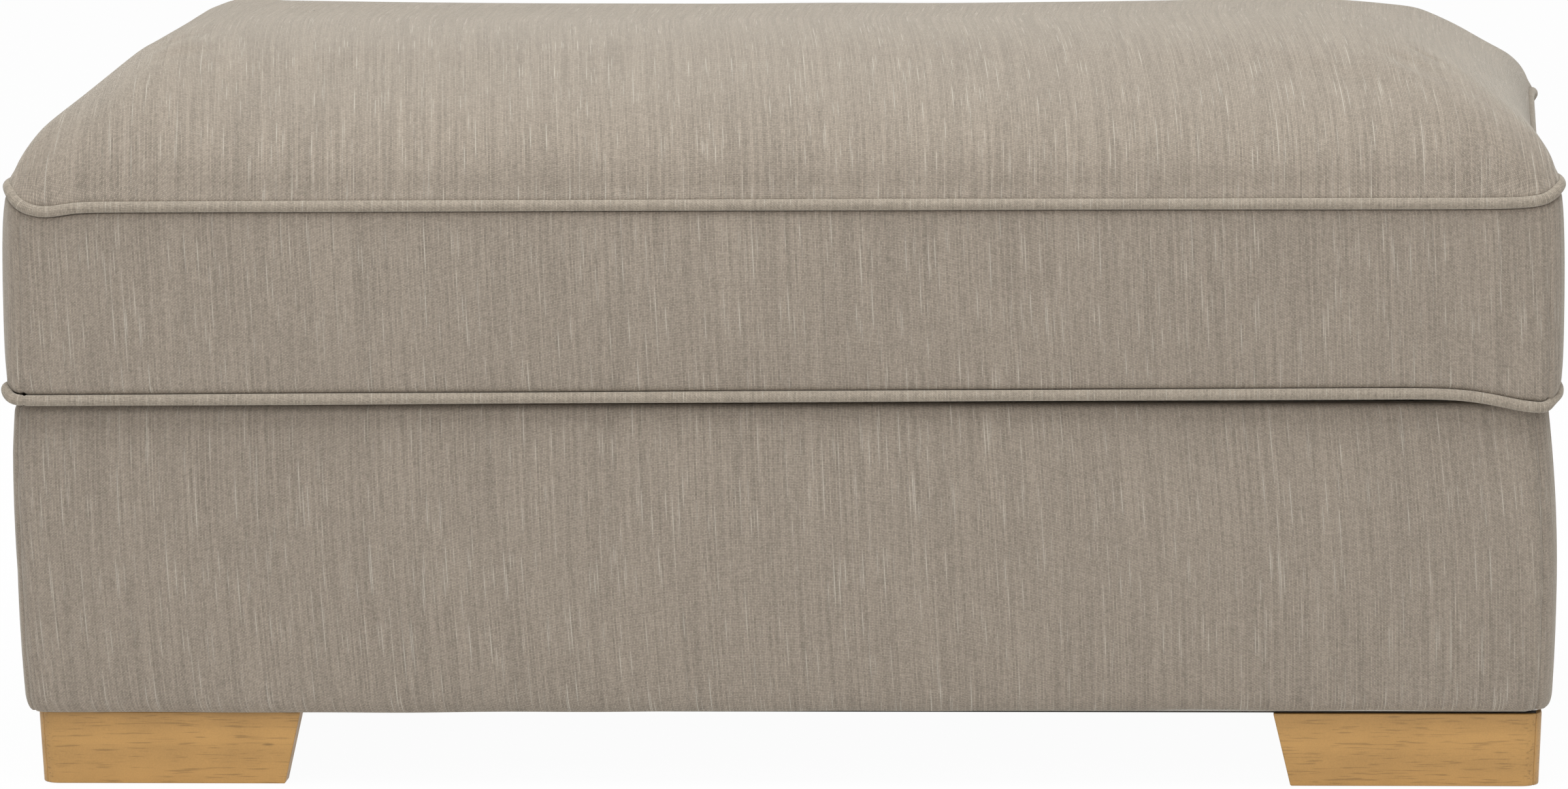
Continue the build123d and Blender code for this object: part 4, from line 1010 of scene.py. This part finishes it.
def foam_core():
    """The foam in the band, with a rebate over the edge of the lid board."""
    cushion, piping = settings("cushion"), settings("piping")
    inset = cushion.cover_thickness + FOAM_CLEARANCE
    bottom = LOWER_Z + PIPING_RADIUS + piping.seam_gap
    top = UPPER_Z - PIPING_RADIUS - piping.seam_gap
    shares = np.linspace(0, 1, FOAM_ROWS)
    end = np.clip(1 - np.minimum(shares, 1 - shares) / FOAM_EDGE_SHARE, 0, 1)
    half_x, half_y, radius, bow = band_rings(inset + FOAM_EDGE_INSET * end, shares)
    room_x, room_y, room_z = (value + FOAM_CLEARANCE for value in BOARD_HIGH)
    lid_top = UPPER_Z - piping.flange_thickness / 2

    def closing(wide, deep, z):
        return [(wide - deep, SLIT, SLIT / 2, 0, z), (wide / 2, deep / 2, FOAM_CORNER, 0, z)]

    def turned_in(row, z):
        return half_x[row] - FOAM_END_INSET, half_y[row] - FOAM_END_INSET, radius[row], bow[row], z

    rings = closing(room_x, room_y, room_z)
    rings += [(room_x, room_y, FOAM_CORNER, 0, z) for z in (room_z, BOARD_LOW.z)]
    rings += [turned_in(0, BOARD_LOW.z), *zip(half_x, half_y, radius, bow, bottom + (top - bottom) * shares)]
    rings += [turned_in(-1, lid_top), *closing(HALF_WIDTH, HALF_DEPTH, lid_top)[::-1]]
    places = {side: side_places(side, FOAM_GRID) for side in SIDES}
    return ring_piece("lid_foam_core", rings, places)


def ring_piece(name, rings, places):
    """A closed piece through level rings, whose first and last rings close on a line."""
    flat = ring_points(rings, places, EVEN_SEAMS)
    z = np.broadcast_to(np.array([ring[4] for ring in rings])[:, None], flat.shape[:2])
    part = (1 + np.clip((z - LOWER_Z) / (UPPER_Z - LOWER_Z), 0, 1)) / 2
    flat[:, :, 0] = drawn_in(flat[:, :, 0], flat[:, :, 1], part)
    vertices = np.concatenate([flat, z[:, :, None]], axis=2)
    piece = add_piece(name, vertices.reshape(-1, 3), grid_faces(*flat.shape[:2], around=True))
    merge_closed(piece)
    return piece


def cord_path(line, draw_in, left_radius):
    """The closed path of a cord's middle, its first point given again at its end, and the length along it."""
    piping = settings("piping")
    right_radius = piping.corner_radius
    radii = {"front": (left_radius, right_radius), "right": (right_radius, right_radius),
             "back": (right_radius, left_radius), "left": (left_radius, left_radius)}
    half_x, half_y = HALF_WIDTH - PIPING_RADIUS, HALF_DEPTH - PIPING_RADIUS
    columns = []
    for side in SIDES:
        places = spaced(side_length(side, half_x, half_y), *CORD_GRID)[:-1]
        radius = np.where(places < 0, *radii[side])
        x, y = side_points(side, half_x, half_y, radius, -draw_in, places, EVEN_SEAMS)
        x = drawn_in(x, y, draw_in / piping.draw_in)
        height = line(x, y)
        if line is lower_line:
            x = lobed(x, y)
        columns.append(np.stack([x, y, height], axis=1))
    path = np.concatenate(columns)
    path = np.concatenate([path, path[:1]])
    return path, lengths_along(path)


CORD_SEGMENTS = 20
# Small lumps of a cord by their length and share of its radius, and its slow swells by number and share
LUMP_LENGTH, LUMP_SHARE = 0.012, 0.006
CORD_SWELLS, CORD_SWELL_SHARE = 10, 0.02
CORD_SLACK = 0.1 * MM
# Where in a cord its flat begins, as a share of its radius
FLANGE_START_SHARE = 0.8
# Where the slow swells of each cord begin, and how far the joint of the lower cord lies from the left end
UPPER_CORD_SEED, LOWER_CORD_SEED = 3, 4
JOINT_INSET = 13 * MM


def cord(name, line, level, draw_in, left_radius, joints, seed):
    """A covered piping cord with the flat that is sewn in; joints are the places of folds across it."""
    piping = settings("piping")
    path, length = cord_path(line, draw_in, left_radius)
    ahead = np.roll(path[:-1], -1, axis=0) - np.roll(path[:-1], 1, axis=0)
    ahead = np.concatenate([ahead, ahead[:1]])
    ahead = ahead / np.linalg.norm(ahead, axis=1, keepdims=True)
    out = np.cross(ahead, np.array([0, 0, 1.0]))
    out = out / np.linalg.norm(out, axis=1, keepdims=True)
    above = np.cross(out, ahead)
    whole = length * round(length[-1] / LUMP_LENGTH) / length[-1]
    lumps = np.sin(whole * math.tau / LUMP_LENGTH) * LUMP_SHARE
    lumps = lumps + np.sin(length * CORD_SWELLS * math.tau / length[-1] + seed) * CORD_SWELL_SHARE
    radius = PIPING_RADIUS * (1 + lumps) - CORD_SLACK
    for x, y in joints:
        off = np.hypot(path[:, 0] - x, path[:, 1] - y)
        radius = radius - piping.joint_depth * np.exp(-(off / piping.joint_width) ** 2)
    rows, weave = [], []
    for turn in np.linspace(-math.pi, math.pi, CORD_SEGMENTS + 1):
        rows.append(path + (out * math.cos(turn) + above * math.sin(turn)) * radius[:, None])
        weave.append(np.stack([length, turn * PIPING_RADIUS + 0 * length], axis=1))
    tube_faces = grid_faces(CORD_SEGMENTS + 1, len(path))
    half = piping.flange_thickness / 2
    near, far = PIPING_RADIUS * FLANGE_START_SHARE, piping.flange_width
    for inset, height in ((far, -half), (near, -half), (near, half), (far, half), (far, -half)):
        row = path - out * inset
        row[:, 2] = (level if inset == far else path[:, 2]) + height
        rows.append(row)
        weave.append(np.stack([length, inset + height + 0 * length], axis=1))
    vertices = np.concatenate(rows)
    faces = tube_faces + grid_faces(5, len(path), (CORD_SEGMENTS + 1) * len(path))
    piece = add_piece(name, vertices, faces, np.concatenate(weave))
    merge_closed(piece)
    return piece


# Points of the turned-in edge below, as shares of the turn-in and of the edge's rounding
TURN_IN_SHARE, ROUNDING_SHARE = 0.6, 1.6
BEND_POINTS, FACE_POINTS = 9, 22
# Height of the rounded rim, as a share of that of the rounded bottom edge
RIM_SHARE = 0.5
MOUTH_SHARES = (0.15, 0.5, 1)
BASE_BOW_POWER, LEAST_CORNER = 0.6, 2 * MM
# Shares of the height: where the left end's lean begins, how long it grows downwards, and where the
# right end begins to draw in towards its top
LEFT_LEAN_TOP, LEFT_LEAN_SHARE, RIGHT_LEAN_START = 0.85, 0.4, 0.4
# The lean and the swell of the ends fade on the parts that are turned in this far
FACE_END, FACE_FADE = 8 * MM, 12 * MM
EDGE_POWER = 6
PADDING_ROWS, PADDING_COLUMNS, PADDING_WIDTH_SHARE = 26, 60, 0.995
# How far the seams and the swells of a cover can come in, and the corner of the frame behind the wadding
COVER_RELIEF, FRAME_CORNER = 1.2 * MM, 12 * MM


def base_profile():
    """The base cover's section from its turned-in edge below, up to the storage mouth, as insets."""
    base = settings("base")
    low, high = BASE_LOW.z, BASE_HIGH.z
    rounding, tall = base.edge_rounding, base.edge_height
    points = [(base.turn_in, low), (base.turn_in * TURN_IN_SHARE, low), (rounding * ROUNDING_SHARE, low)]
    bends = np.linspace(0, math.pi / 2, BEND_POINTS)
    points += [(rounding * (1 - math.sin(bend)), low + tall * (1 - math.cos(bend))) for bend in bends]
    face = high - low - (1 + RIM_SHARE) * tall
    points += [(0, low + tall + face * part) for part in np.linspace(0, 1, FACE_POINTS)[1:-1]]
    rim = base.rim_rounding
    points += [(rim * (1 - math.cos(bend)), high - RIM_SHARE * tall * (1 - math.sin(bend))) for bend in bends]
    mouth = HALF_DEPTH - base.setback - LINING_HIGH.y
    points += [(rim + (mouth - rim) * part, high) for part in MOUTH_SHARES]
    return np.array(points)


def base_shape(side, insets, heights, places):
    """Points of the padded base form on one side."""
    base = settings("base")
    low, high = BASE_LOW.z, BASE_HIGH.z
    part = (heights - low) / (high - low)
    full = np.clip(bulging(part), 0, 1)
    bow = base.bulge * full ** BASE_BOW_POWER
    radius = np.maximum(base.corner_radius - insets, LEAST_CORNER)
    out = base.corner_bulge * full
    half_x, half_y = HALF_WIDTH - base.end_setback - insets + out, HALF_DEPTH - base.setback - insets + out
    seams = (base.left_seam, base.right_seam)
    x, y = side_points(side, half_x, half_y, radius, bow - out, places, seams)
    left = base.left_lean * np.clip((LEFT_LEAN_TOP - part) / LEFT_LEAN_SHARE, 0, 1)
    right = base.right_lean * (np.clip(part - RIGHT_LEAN_START, 0, 1) / (1 - RIGHT_LEAN_START)) ** 2
    face = np.clip(1 - (insets - FACE_END) / FACE_FADE, 0, 1)
    moved = np.where(x < 0, left - base.left_swell, base.right_swell - right)
    x = x + moved * toward_end(x, END_POWER) * face
    return x, y, np.broadcast_to(heights, x.shape)


def base_panel(side):
    """One fabric panel of the base, turned in at the rim and under the bottom."""
    base, cushion = settings("base"), settings("cushion")
    profile = base_profile()
    places = side_places(side, PANEL_GRID)[None, :]
    x, y, z = base_shape(side, profile[:, :1], profile[:, 1:], places)
    part = np.clip((z - BASE_LOW.z) / (BASE_HIGH.z - BASE_LOW.z), 0, 1)
    inner = TURN_IN_SHARE * base.turn_in
    edge = np.clip((inner - profile[:, :1]) / (inner - base.edge_rounding), 0, 1) * (1 - part) ** EDGE_POWER
    hang = base.edge_rise * np.clip(0.5 + x / HALF_WIDTH, 0, 1)
    hang = hang + swells(x + y, np.zeros_like(z), EDGE_SEED, base.edge_waves, EDGE_WAVE)
    z = z + edge * hang
    grid = np.stack([x, y, z], axis=2)
    index = SIDES.index(side)
    height = BASE_SWELL_SHARE * cushion.unevenness
    lift = swells(x + y, z, BASE_SEED + index, height, BASE_WAVE) * bulging(part)
    return sewn_panel(f"base_cover_panel_{side}", grid, lift, PANEL_SHIFT * index)


def panel_size(piece):
    """Width and height of a sewn panel's cloth, from its yarn coordinates."""
    places = np.zeros(len(piece.data.loops) * 2, np.float32)
    piece.data.uv_layers["weave"].uv.foreach_get("vector", places)
    v = places[1::2]
    u = places[::2] - settings("finish").yarn_lean * v
    return float(u.max() - u.min()), float(v.max() - v.min())


def base_wadding(side):
    """The wadding behind one base panel, flat against the frame."""
    base, cushion = settings("base"), settings("cushion")
    inset = cushion.cover_thickness + base.wadding_gap + COVER_RELIEF
    heights = np.linspace(FRAME_LOW.z + MM, FRAME_HIGH.z - MM, PADDING_ROWS)[:, None]
    off = np.minimum(heights - FRAME_LOW.z, FRAME_HIGH.z - heights)
    curl = np.clip(1 - off / base.edge_height, 0, 1)
    insets = inset + base.edge_rounding * (1 - np.sqrt(1 - curl ** 2))
    places = np.linspace(-1, 1, PADDING_COLUMNS)[None, :] * PADDING_WIDTH_SHARE
    outer = np.stack(base_shape(side, insets, heights, places), axis=2)
    half_x, half_y = np.full_like(insets, FRAME_HIGH.x), np.full_like(insets, -FRAME_LOW.y)
    x, y = side_points(side, half_x, half_y, FRAME_CORNER, 0, places, (base.left_seam, base.right_seam))
    inner = np.stack([x, y, np.broadcast_to(heights, x.shape)], axis=2)
    return shell(f"base_wadding_{side}", outer, inner)


FOOT_BEND_POINTS, EASING_SEGMENTS, SHARP_ANGLE = 5, 3, math.radians(30)


def foot_board(corner, along_front):
    """One mitred board of a bracket foot, as its floor and top outlines."""
    feet = settings("feet")
    sx, sy = CORNERS[corner]
    along, across = abs(FOOT_LOW.x), abs(FOOT_LOW.y)
    length, radius = feet.front_length, feet.corner_rounding
    if not along_front:
        along, across, length = across, along, feet.side_length
    rows = []
    for taper, end_taper, z in ((feet.face_taper, feet.end_taper, FOOT_LOW.z), (0, 0, FOOT_HIGH.z)):
        a, b = along - taper - radius, across - taper - radius
        far, back = along - length + end_taper, across - feet.board_thickness
        bends = np.linspace(0, math.pi / 4, FOOT_BEND_POINTS)
        points = [(far, across - taper)]
        points += [(a + radius * math.sin(bend), b + radius * math.cos(bend)) for bend in bends]
        points += [(along - feet.board_thickness, back), (far, back)]
        places = points if along_front else [(x, y) for y, x in points]
        rows.append([(sx * x, sy * y, z) for x, y in places])
    return rows


def bracket_foot(corner):
    """A bracket foot of two mitred boards with eased edges."""
    feet = settings("feet")
    made = bmesh.new()
    for index, along_front in enumerate((True, False)):
        floor, top = foot_board(corner, along_front)
        count = len(floor)
        vertices = [made.verts.new(point) for point in floor + top]
        faces = [made.faces.new(vertices[:count]), made.faces.new(vertices[count:][::-1])]
        for i in range(count):
            j = (i + 1) % count
            faces.append(made.faces.new((vertices[j], vertices[i], vertices[i + count], vertices[j + count])))
        for face in faces:
            face.material_index = index
    bmesh.ops.recalc_face_normals(made, faces=made.faces)
    mesh = bpy.data.meshes.new(f"bracket_foot_{corner}")
    made.to_mesh(mesh)
    made.free()
    mesh.shade_smooth()
    piece = link_object(f"bracket_foot_{corner}", mesh)
    easing = piece.modifiers.new("eased", "BEVEL")
    easing.width = feet.edge_rounding
    easing.segments = EASING_SEGMENTS
    easing.limit_method = "ANGLE"
    easing.angle_limit = SHARP_ANGLE
    easing.harden_normals = True
    return piece


CLOTH_COLUMNS, CLOTH_ROWS, CLOTH_WAVE, SLACK_POWER = 121, 73, 0.16, 4
DUST_SAG, DUST_SEED = 2 * MM, 51
LID_LINING_SAG, LID_LINING_SEED = 0.6 * MM, 52


def flat_cloth(name, low, high, sag, seed):
    """A thin cloth held flat round its edge, a little slack in between."""
    x, y = np.meshgrid(np.linspace(low.x, high.x, CLOTH_COLUMNS), np.linspace(low.y, high.y, CLOTH_ROWS))
    slack = (1 - (x / high.x) ** SLACK_POWER) * (1 - (y / high.y) ** SLACK_POWER)
    drop = slack * (sag + swells(x, y, seed, sag / 2, CLOTH_WAVE))
    upper = np.stack([x, y, high.z - drop], axis=2)
    lower = np.stack([x, y, low.z - drop], axis=2)
    return shell(name, upper, lower)


def notched_outline(half_x, half_y, notch, steps):
    """A rectangle with a square notch at each corner; steps divide its fronts, its ends and its notches."""
    corner = [(half_x - notch, -half_y), (half_x - notch, notch - half_y), (half_x, notch - half_y)]
    turns = [(1, 1, 1), (1, -1, -1), (-1, -1, 1), (-1, 1, -1)]
    points = []
    for sx, sy, way in turns:
        points += [(x * sx, y * sy) for x, y in corner[::way]]
    outline = []
    for (ax, ay), (bx, by) in zip(points, points[1:] + points[:1]):
        wide, deep = abs(bx - ax) > 2 * notch, abs(by - ay) > 2 * notch
        count = steps[0] if wide else steps[1] if deep else steps[2]
        outline += [(ax + (bx - ax) * i / count, ay + (by - ay) * i / count) for i in range(count)]
    return np.array(outline)


WALL_STEPS, WALL_ROWS = (110, 60, 3), 22
WALL_SLACK, STAY_REACH = 0.9 * MM, 60 * MM
# How fast the waves of the slack run along the two directions in plan and up the walls
WAVE_X, WAVE_Y, WAVE_UP = 23, 17, 2


def wall_cloth():
    """The lining of the storage walls: one sleeve round walls and posts, a little slack below its edge."""
    post = post_size()
    outer = notched_outline(LINING_HIGH.x, LINING_HIGH.y, post, WALL_STEPS)
    inner = notched_outline(CARD_HIGH.x, CARD_HIGH.y, post, WALL_STEPS)
    heights = np.linspace(LINING_LOW.z, LINING_HIGH.z, WALL_ROWS)
    rows_out, rows_in = [], []
    stays = np.exp(-((inner[:, 1] - STAY_START) / STAY_REACH) ** 2)
    for height in heights:
        part = (height - heights[0]) / (heights[-1] - heights[0])
        slack = WALL_SLACK * math.sin(math.pi * part) ** 0.5 * (1 - stays)
        wave = 0.5 + 0.5 * np.sin(inner[:, 0] * WAVE_X + inner[:, 1] * WAVE_Y + part * WAVE_UP)
        near = inner * (1 - slack * wave / HALF_DEPTH)[:, None]
        rows_in.append(np.column_stack([near, np.full(len(near), height)]))
        rows_out.append(np.column_stack([outer, np.full(len(outer), height)]))
    count = len(outer)
    grid_out, grid_in = np.array(rows_out), np.array(rows_in)
    rows = len(heights)
    faces = grid_faces(rows, count, around=True)
    faces += grid_faces(rows, count, rows * count, around=True, flip=True)
    for i in range(count):
        j = (i + 1) % count
        low, high = rows * count, (rows - 1) * count
        faces.append((j, i, low + i, low + j))
        faces.append((high + i, high + j, low + high + j, low + high + i))
    vertices = np.concatenate([grid_out.reshape(-1, 3), grid_in.reshape(-1, 3)])
    return add_piece("storage_wall_cloth", vertices, faces)


def post_size():
    """Width of a corner post."""
    inner_edge = min(abs(vertex.co.x) for vertex in frame["nodes"]["corner_posts"].data.vertices)
    return POST_OUTER_EDGE - inner_edge


CARD_STEPS, CARD_EASING = (2, 2, 2), 0.3 * MM


def floor_card():
    """The cloth-covered card on the storage floor, notched round the posts, its edge eased."""
    outline = notched_outline(CARD_HIGH.x, CARD_HIGH.y, post_size(), CARD_STEPS)
    made = bmesh.new()
    ends = [[made.verts.new((x, y, z)) for x, y in outline] for z in (CARD_LOW.z, CARD_HIGH.z)]
    made.faces.new(ends[0])
    made.faces.new(ends[1])
    for i in range(len(outline)):
        j = (i + 1) % len(outline)
        made.faces.new((ends[0][i], ends[0][j], ends[1][j], ends[1][i]))
    bmesh.ops.recalc_face_normals(made, faces=made.faces)
    edges = [edge for edge in made.edges if abs(edge.verts[0].co.z - edge.verts[1].co.z) < SLIT]
    bmesh.ops.bevel(made, geom=edges, offset=CARD_EASING, segments=2, affect="EDGES")
    mesh = bpy.data.meshes.new("storage_floor_card")
    made.to_mesh(mesh)
    made.free()
    return link_object("storage_floor_card", mesh)


# Operators

class OTTOMAN_OT_lid_cushion(bpy.types.Operator):
    """Make the crowned top of the lid"""

    bl_idname = "ottoman.lid_cushion"
    bl_label = "Lid cushion"

    def execute(self, context):
        piece = crown_cushion()
        stand_in(piece, "lid", "cover_fabric", "lid_top_cover", "lid_fibre_wrap")
        return {"FINISHED"}


class OTTOMAN_OT_lid_bands(bpy.types.Operator):
    """Make the four panels of the band and the foam inside them"""

    bl_idname = "ottoman.lid_bands"
    bl_label = "Lid bands and foam"

    def execute(self, context):
        for side in SIDES:
            panel = band_panel(side)
            stand_in(panel, "lid", "cover_fabric", f"lid_band_{side}")
            panel_size(panel)
        core = foam_core()
        stand_in(core, "lid", "foam", "lid_foam_block")
        return {"FINISHED"}


class OTTOMAN_OT_piping(bpy.types.Operator):
    """Make the two piping cords of the lid"""

    bl_idname = "ottoman.piping"
    bl_label = "Piping"

    def execute(self, context):
        piping = settings("piping")
        joint = (JOINT_INSET - HALF_WIDTH, PIPING_RADIUS - HALF_DEPTH)
        upper = cord("upper_piping_cord", upper_line, UPPER_Z, piping.draw_in, piping.corner_radius, [],
                     UPPER_CORD_SEED)
        stand_in(upper, "lid", "piping_fabric", "upper_piping")
        lower = cord("lower_piping_cord", lower_line, LOWER_Z, piping.draw_in / 2, piping.lower_left_corner,
                     [joint], LOWER_CORD_SEED)
        stand_in(lower, "lid", "piping_fabric", "lower_piping")
        return {"FINISHED"}


class OTTOMAN_OT_base_covers(bpy.types.Operator):
    """Make the four cover panels of the base and the wadding behind them"""

    bl_idname = "ottoman.base_covers"
    bl_label = "Base covers and wadding"

    def execute(self, context):
        for side in SIDES:
            panel = base_panel(side)
            stand_in(panel, "base", "cover_fabric", f"base_cover_{side}")
            panel_size(panel)
            pad = base_wadding(side)
            stand_in(pad, "base", "wadding", f"base_padding_{side}")
        return {"FINISHED"}


class OTTOMAN_OT_feet(bpy.types.Operator):
    """Make the four bracket feet"""

    bl_idname = "ottoman.feet"
    bl_label = "Feet"

    def execute(self, context):
        for corner in CORNERS:
            piece = bracket_foot(corner)
            piece.data.materials.append(material("oak"))
            piece.data.materials.append(material("oak_along_y"))
            stand_in(piece, "base", "oak", f"foot_{corner}")
        return {"FINISHED"}


class OTTOMAN_OT_linings(bpy.types.Operator):
    """Make the linings of the storage and the lid and the dust cover"""

    bl_idname = "ottoman.linings"
    bl_label = "Linings"

    def execute(self, context):
        walls = wall_cloth()
        stand_in(walls, "base", "lining_fabric", "storage_wall_lining")
        card = floor_card()
        stand_in(card, "base", "lining_fabric", "storage_floor_lining")
        dust = flat_cloth("dust_cover_cloth", DUST_LOW, DUST_HIGH, DUST_SAG, DUST_SEED)
        stand_in(dust, "base", "lining_fabric", "dust_cover")
        under = flat_cloth("lid_lining_cloth", LID_LINING_LOW, LID_LINING_HIGH, LID_LINING_SAG,
                           LID_LINING_SEED)
        stand_in(under, "lid", "lining_fabric", "lid_lining")
        return {"FINISHED"}


class OTTOMAN_OT_frame_finishes(bpy.types.Operator):
    """Give the wooden frame, the hardware and the small parts their finishes"""

    bl_idname = "ottoman.frame_finishes"
    bl_label = "Frame finishes"

    def execute(self, context):
        grain = {"base_left_panel": "plywood_along_y", "base_right_panel": "plywood_along_y",
                 "corner_posts": "pine_upright", "foot_mounting_blocks": "pine_upright"}
        for row in frame["record"]["subparts"]:
            node = frame["nodes"][row["node"]]
            finish = grain.get(row["node"], row["material_slot"])
            for place in node.material_slots:
                place.material = material(finish)
        return {"FINISHED"}


class OTTOMAN_OT_stage(bpy.types.Operator):
    """Make the floor, the lamps, the world and the camera"""

    bl_idname = "ottoman.stage"
    bl_label = "Stage"

    def execute(self, context):
        make_floor()
        make_world()
        make_lamps()
        make_camera()
        return {"FINISHED"}


FLOOR_REACH = 40.0
# How much of the floor's shading is replaced by plain white where it is seen
FLOOR_WHITE_SHARE = 0.965


def seen_rays(tree):
    """A value that is 1 for rays that show the background: from the camera, reflected or through glass."""
    path = tree.nodes.new("ShaderNodeLightPath")
    value = path.outputs["Is Camera Ray"]
    for name in ("Is Glossy Ray", "Is Transmission Ray"):
        larger = tree.nodes.new("ShaderNodeMath")
        larger.operation = "MAXIMUM"
        tree.links.new(value, larger.inputs[0])
        tree.links.new(path.outputs[name], larger.inputs[1])
        value = larger.outputs[0]
    return value


def make_floor():
    """A wide white floor that keeps a faint shadow."""
    mesh = bpy.data.meshes.new("floor")
    turns = ((-1, -1), (1, -1), (1, 1), (-1, 1))
    mesh.from_pydata([(x * FLOOR_REACH, y * FLOOR_REACH, 0) for x, y in turns], [], [(0, 1, 2, 3)])
    link_object("floor", mesh)
    made = Sketch("floor_white")
    mesh.materials.append(made.material)
    made.shade(Base_Color=(0.8, 0.8, 0.8, 1), Roughness=0.9, Specular_IOR_Level=0.0)
    glow = made.node("ShaderNodeEmission", [("Color", (1, 1, 1, 1)), ("Strength", 1.0)])
    share_seen = made.math("MULTIPLY", seen_rays(made.tree), FLOOR_WHITE_SHARE)
    blend = made.node("ShaderNodeMixShader", [(0, share_seen)])
    made.tree.links.new(made.shader.outputs[0], blend.inputs[1])
    made.tree.links.new(glow.outputs[0], blend.inputs[2])
    made.tree.links.new(blend.outputs[0], made.tree.nodes["Material Output"].inputs["Surface"])


def make_world():
    """A white surrounding, at a plain level as a light."""
    stage = settings("stage")
    world = bpy.data.worlds.new("surrounding")
    bpy.context.scene.world = world
    world.use_nodes = True
    tree = world.node_tree
    seen = seen_rays(tree)
    level = tree.nodes.new("ShaderNodeMapRange")
    tree.links.new(seen, level.inputs["Value"])
    level.inputs["To Min"].default_value = stage.ambient
    level.inputs["To Max"].default_value = 1.0
    background = tree.nodes["Background"]
    background.inputs["Color"].default_value = (1, 1, 1, 1)
    tree.links.new(level.outputs[0], background.inputs["Strength"])


def soft_lamp(name, place, aim, width, height, power, tint=(1, 1, 1)):
    """A rectangular soft lamp that points at a place."""
    lamp = bpy.data.lights.new(name, "AREA")
    lamp.shape = "RECTANGLE"
    lamp.size = width
    lamp.size_y = height
    lamp.energy = power
    lamp.color = tint
    holder = link_object(name, lamp)
    holder.location = place
    holder.rotation_mode = "QUATERNION"
    holder.rotation_quaternion = (Vector(aim) - Vector(place)).to_track_quat("-Z", "Y")


def make_lamps():
    """A broad lamp overhead and a weaker one in front."""
    stage = settings("stage")
    soft_lamp("overhead", (0.0, -1.0, 3.2), (0, 0, 0.25), 3.6, 2.6, stage.key_power, stage.key_colour)
    soft_lamp("front", (-0.05, -1.9, 1.15), (-0.05, -0.3, 0.2), 0.8, 0.5, stage.fill_power)


def make_camera():
    """A camera at the photograph's place."""
    stage = settings("stage")
    target = Vector(stage.target)
    level = math.cos(stage.elevation) * stage.distance
    offset = Vector((math.sin(stage.azimuth) * level, -math.cos(stage.azimuth) * level,
                     math.sin(stage.elevation) * stage.distance))
    camera = bpy.data.cameras.new("camera")
    camera.sensor_width = 36
    camera.sensor_fit = "HORIZONTAL"
    camera.lens = stage.lens
    camera.clip_end = 100
    holder = link_object("camera", camera)
    holder.location = target + offset
    holder.rotation_mode = "QUATERNION"
    holder.rotation_quaternion = (-offset).to_track_quat("-Z", "Y") @ Quaternion((0, 0, 1), stage.roll)
    bpy.context.scene.camera = holder
    bpy.context.scene.view_settings.view_transform = "Standard"


OPERATORS = (OTTOMAN_OT_stage, OTTOMAN_OT_lid_cushion, OTTOMAN_OT_lid_bands, OTTOMAN_OT_piping,
             OTTOMAN_OT_base_covers, OTTOMAN_OT_feet, OTTOMAN_OT_linings, OTTOMAN_OT_frame_finishes)


class OTTOMAN_PT_pieces(bpy.types.Panel):
    """The ottoman's pieces, with their sizes and finishes"""

    bl_idname = "OTTOMAN_PT_pieces"
    bl_label = "Storage ottoman"
    bl_space_type = "VIEW_3D"
    bl_region_type = "UI"
    bl_category = "Ottoman"

    def draw(self, context):
        for operator in OPERATORS:
            self.layout.operator(operator.bl_idname)
        for name in GROUPS:
            box = self.layout.box()
            group = getattr(context.scene, name)
            for key in group.bl_rna.properties.keys():
                if key not in ("rna_type", "name"):
                    box.prop(group, key)


CLASSES = (*GROUPS.values(), *OPERATORS, OTTOMAN_PT_pieces)


def register():
    for entry in CLASSES:
        bpy.utils.register_class(entry)
    for name, group in GROUPS.items():
        setattr(bpy.types.Scene, name, PointerProperty(type=group))


def unregister():
    for name in GROUPS:
        delattr(bpy.types.Scene, name)
    for entry in reversed(CLASSES):
        bpy.utils.unregister_class(entry)


def main():
    """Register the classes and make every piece."""
    register()
    bpy.ops.ottoman.stage()
    bpy.ops.ottoman.frame_finishes()
    bpy.ops.ottoman.lid_cushion()
    bpy.ops.ottoman.lid_bands()
    bpy.ops.ottoman.piping()
    bpy.ops.ottoman.base_covers()
    bpy.ops.ottoman.feet()
    bpy.ops.ottoman.linings()


if __name__ == "__main__":
    main()
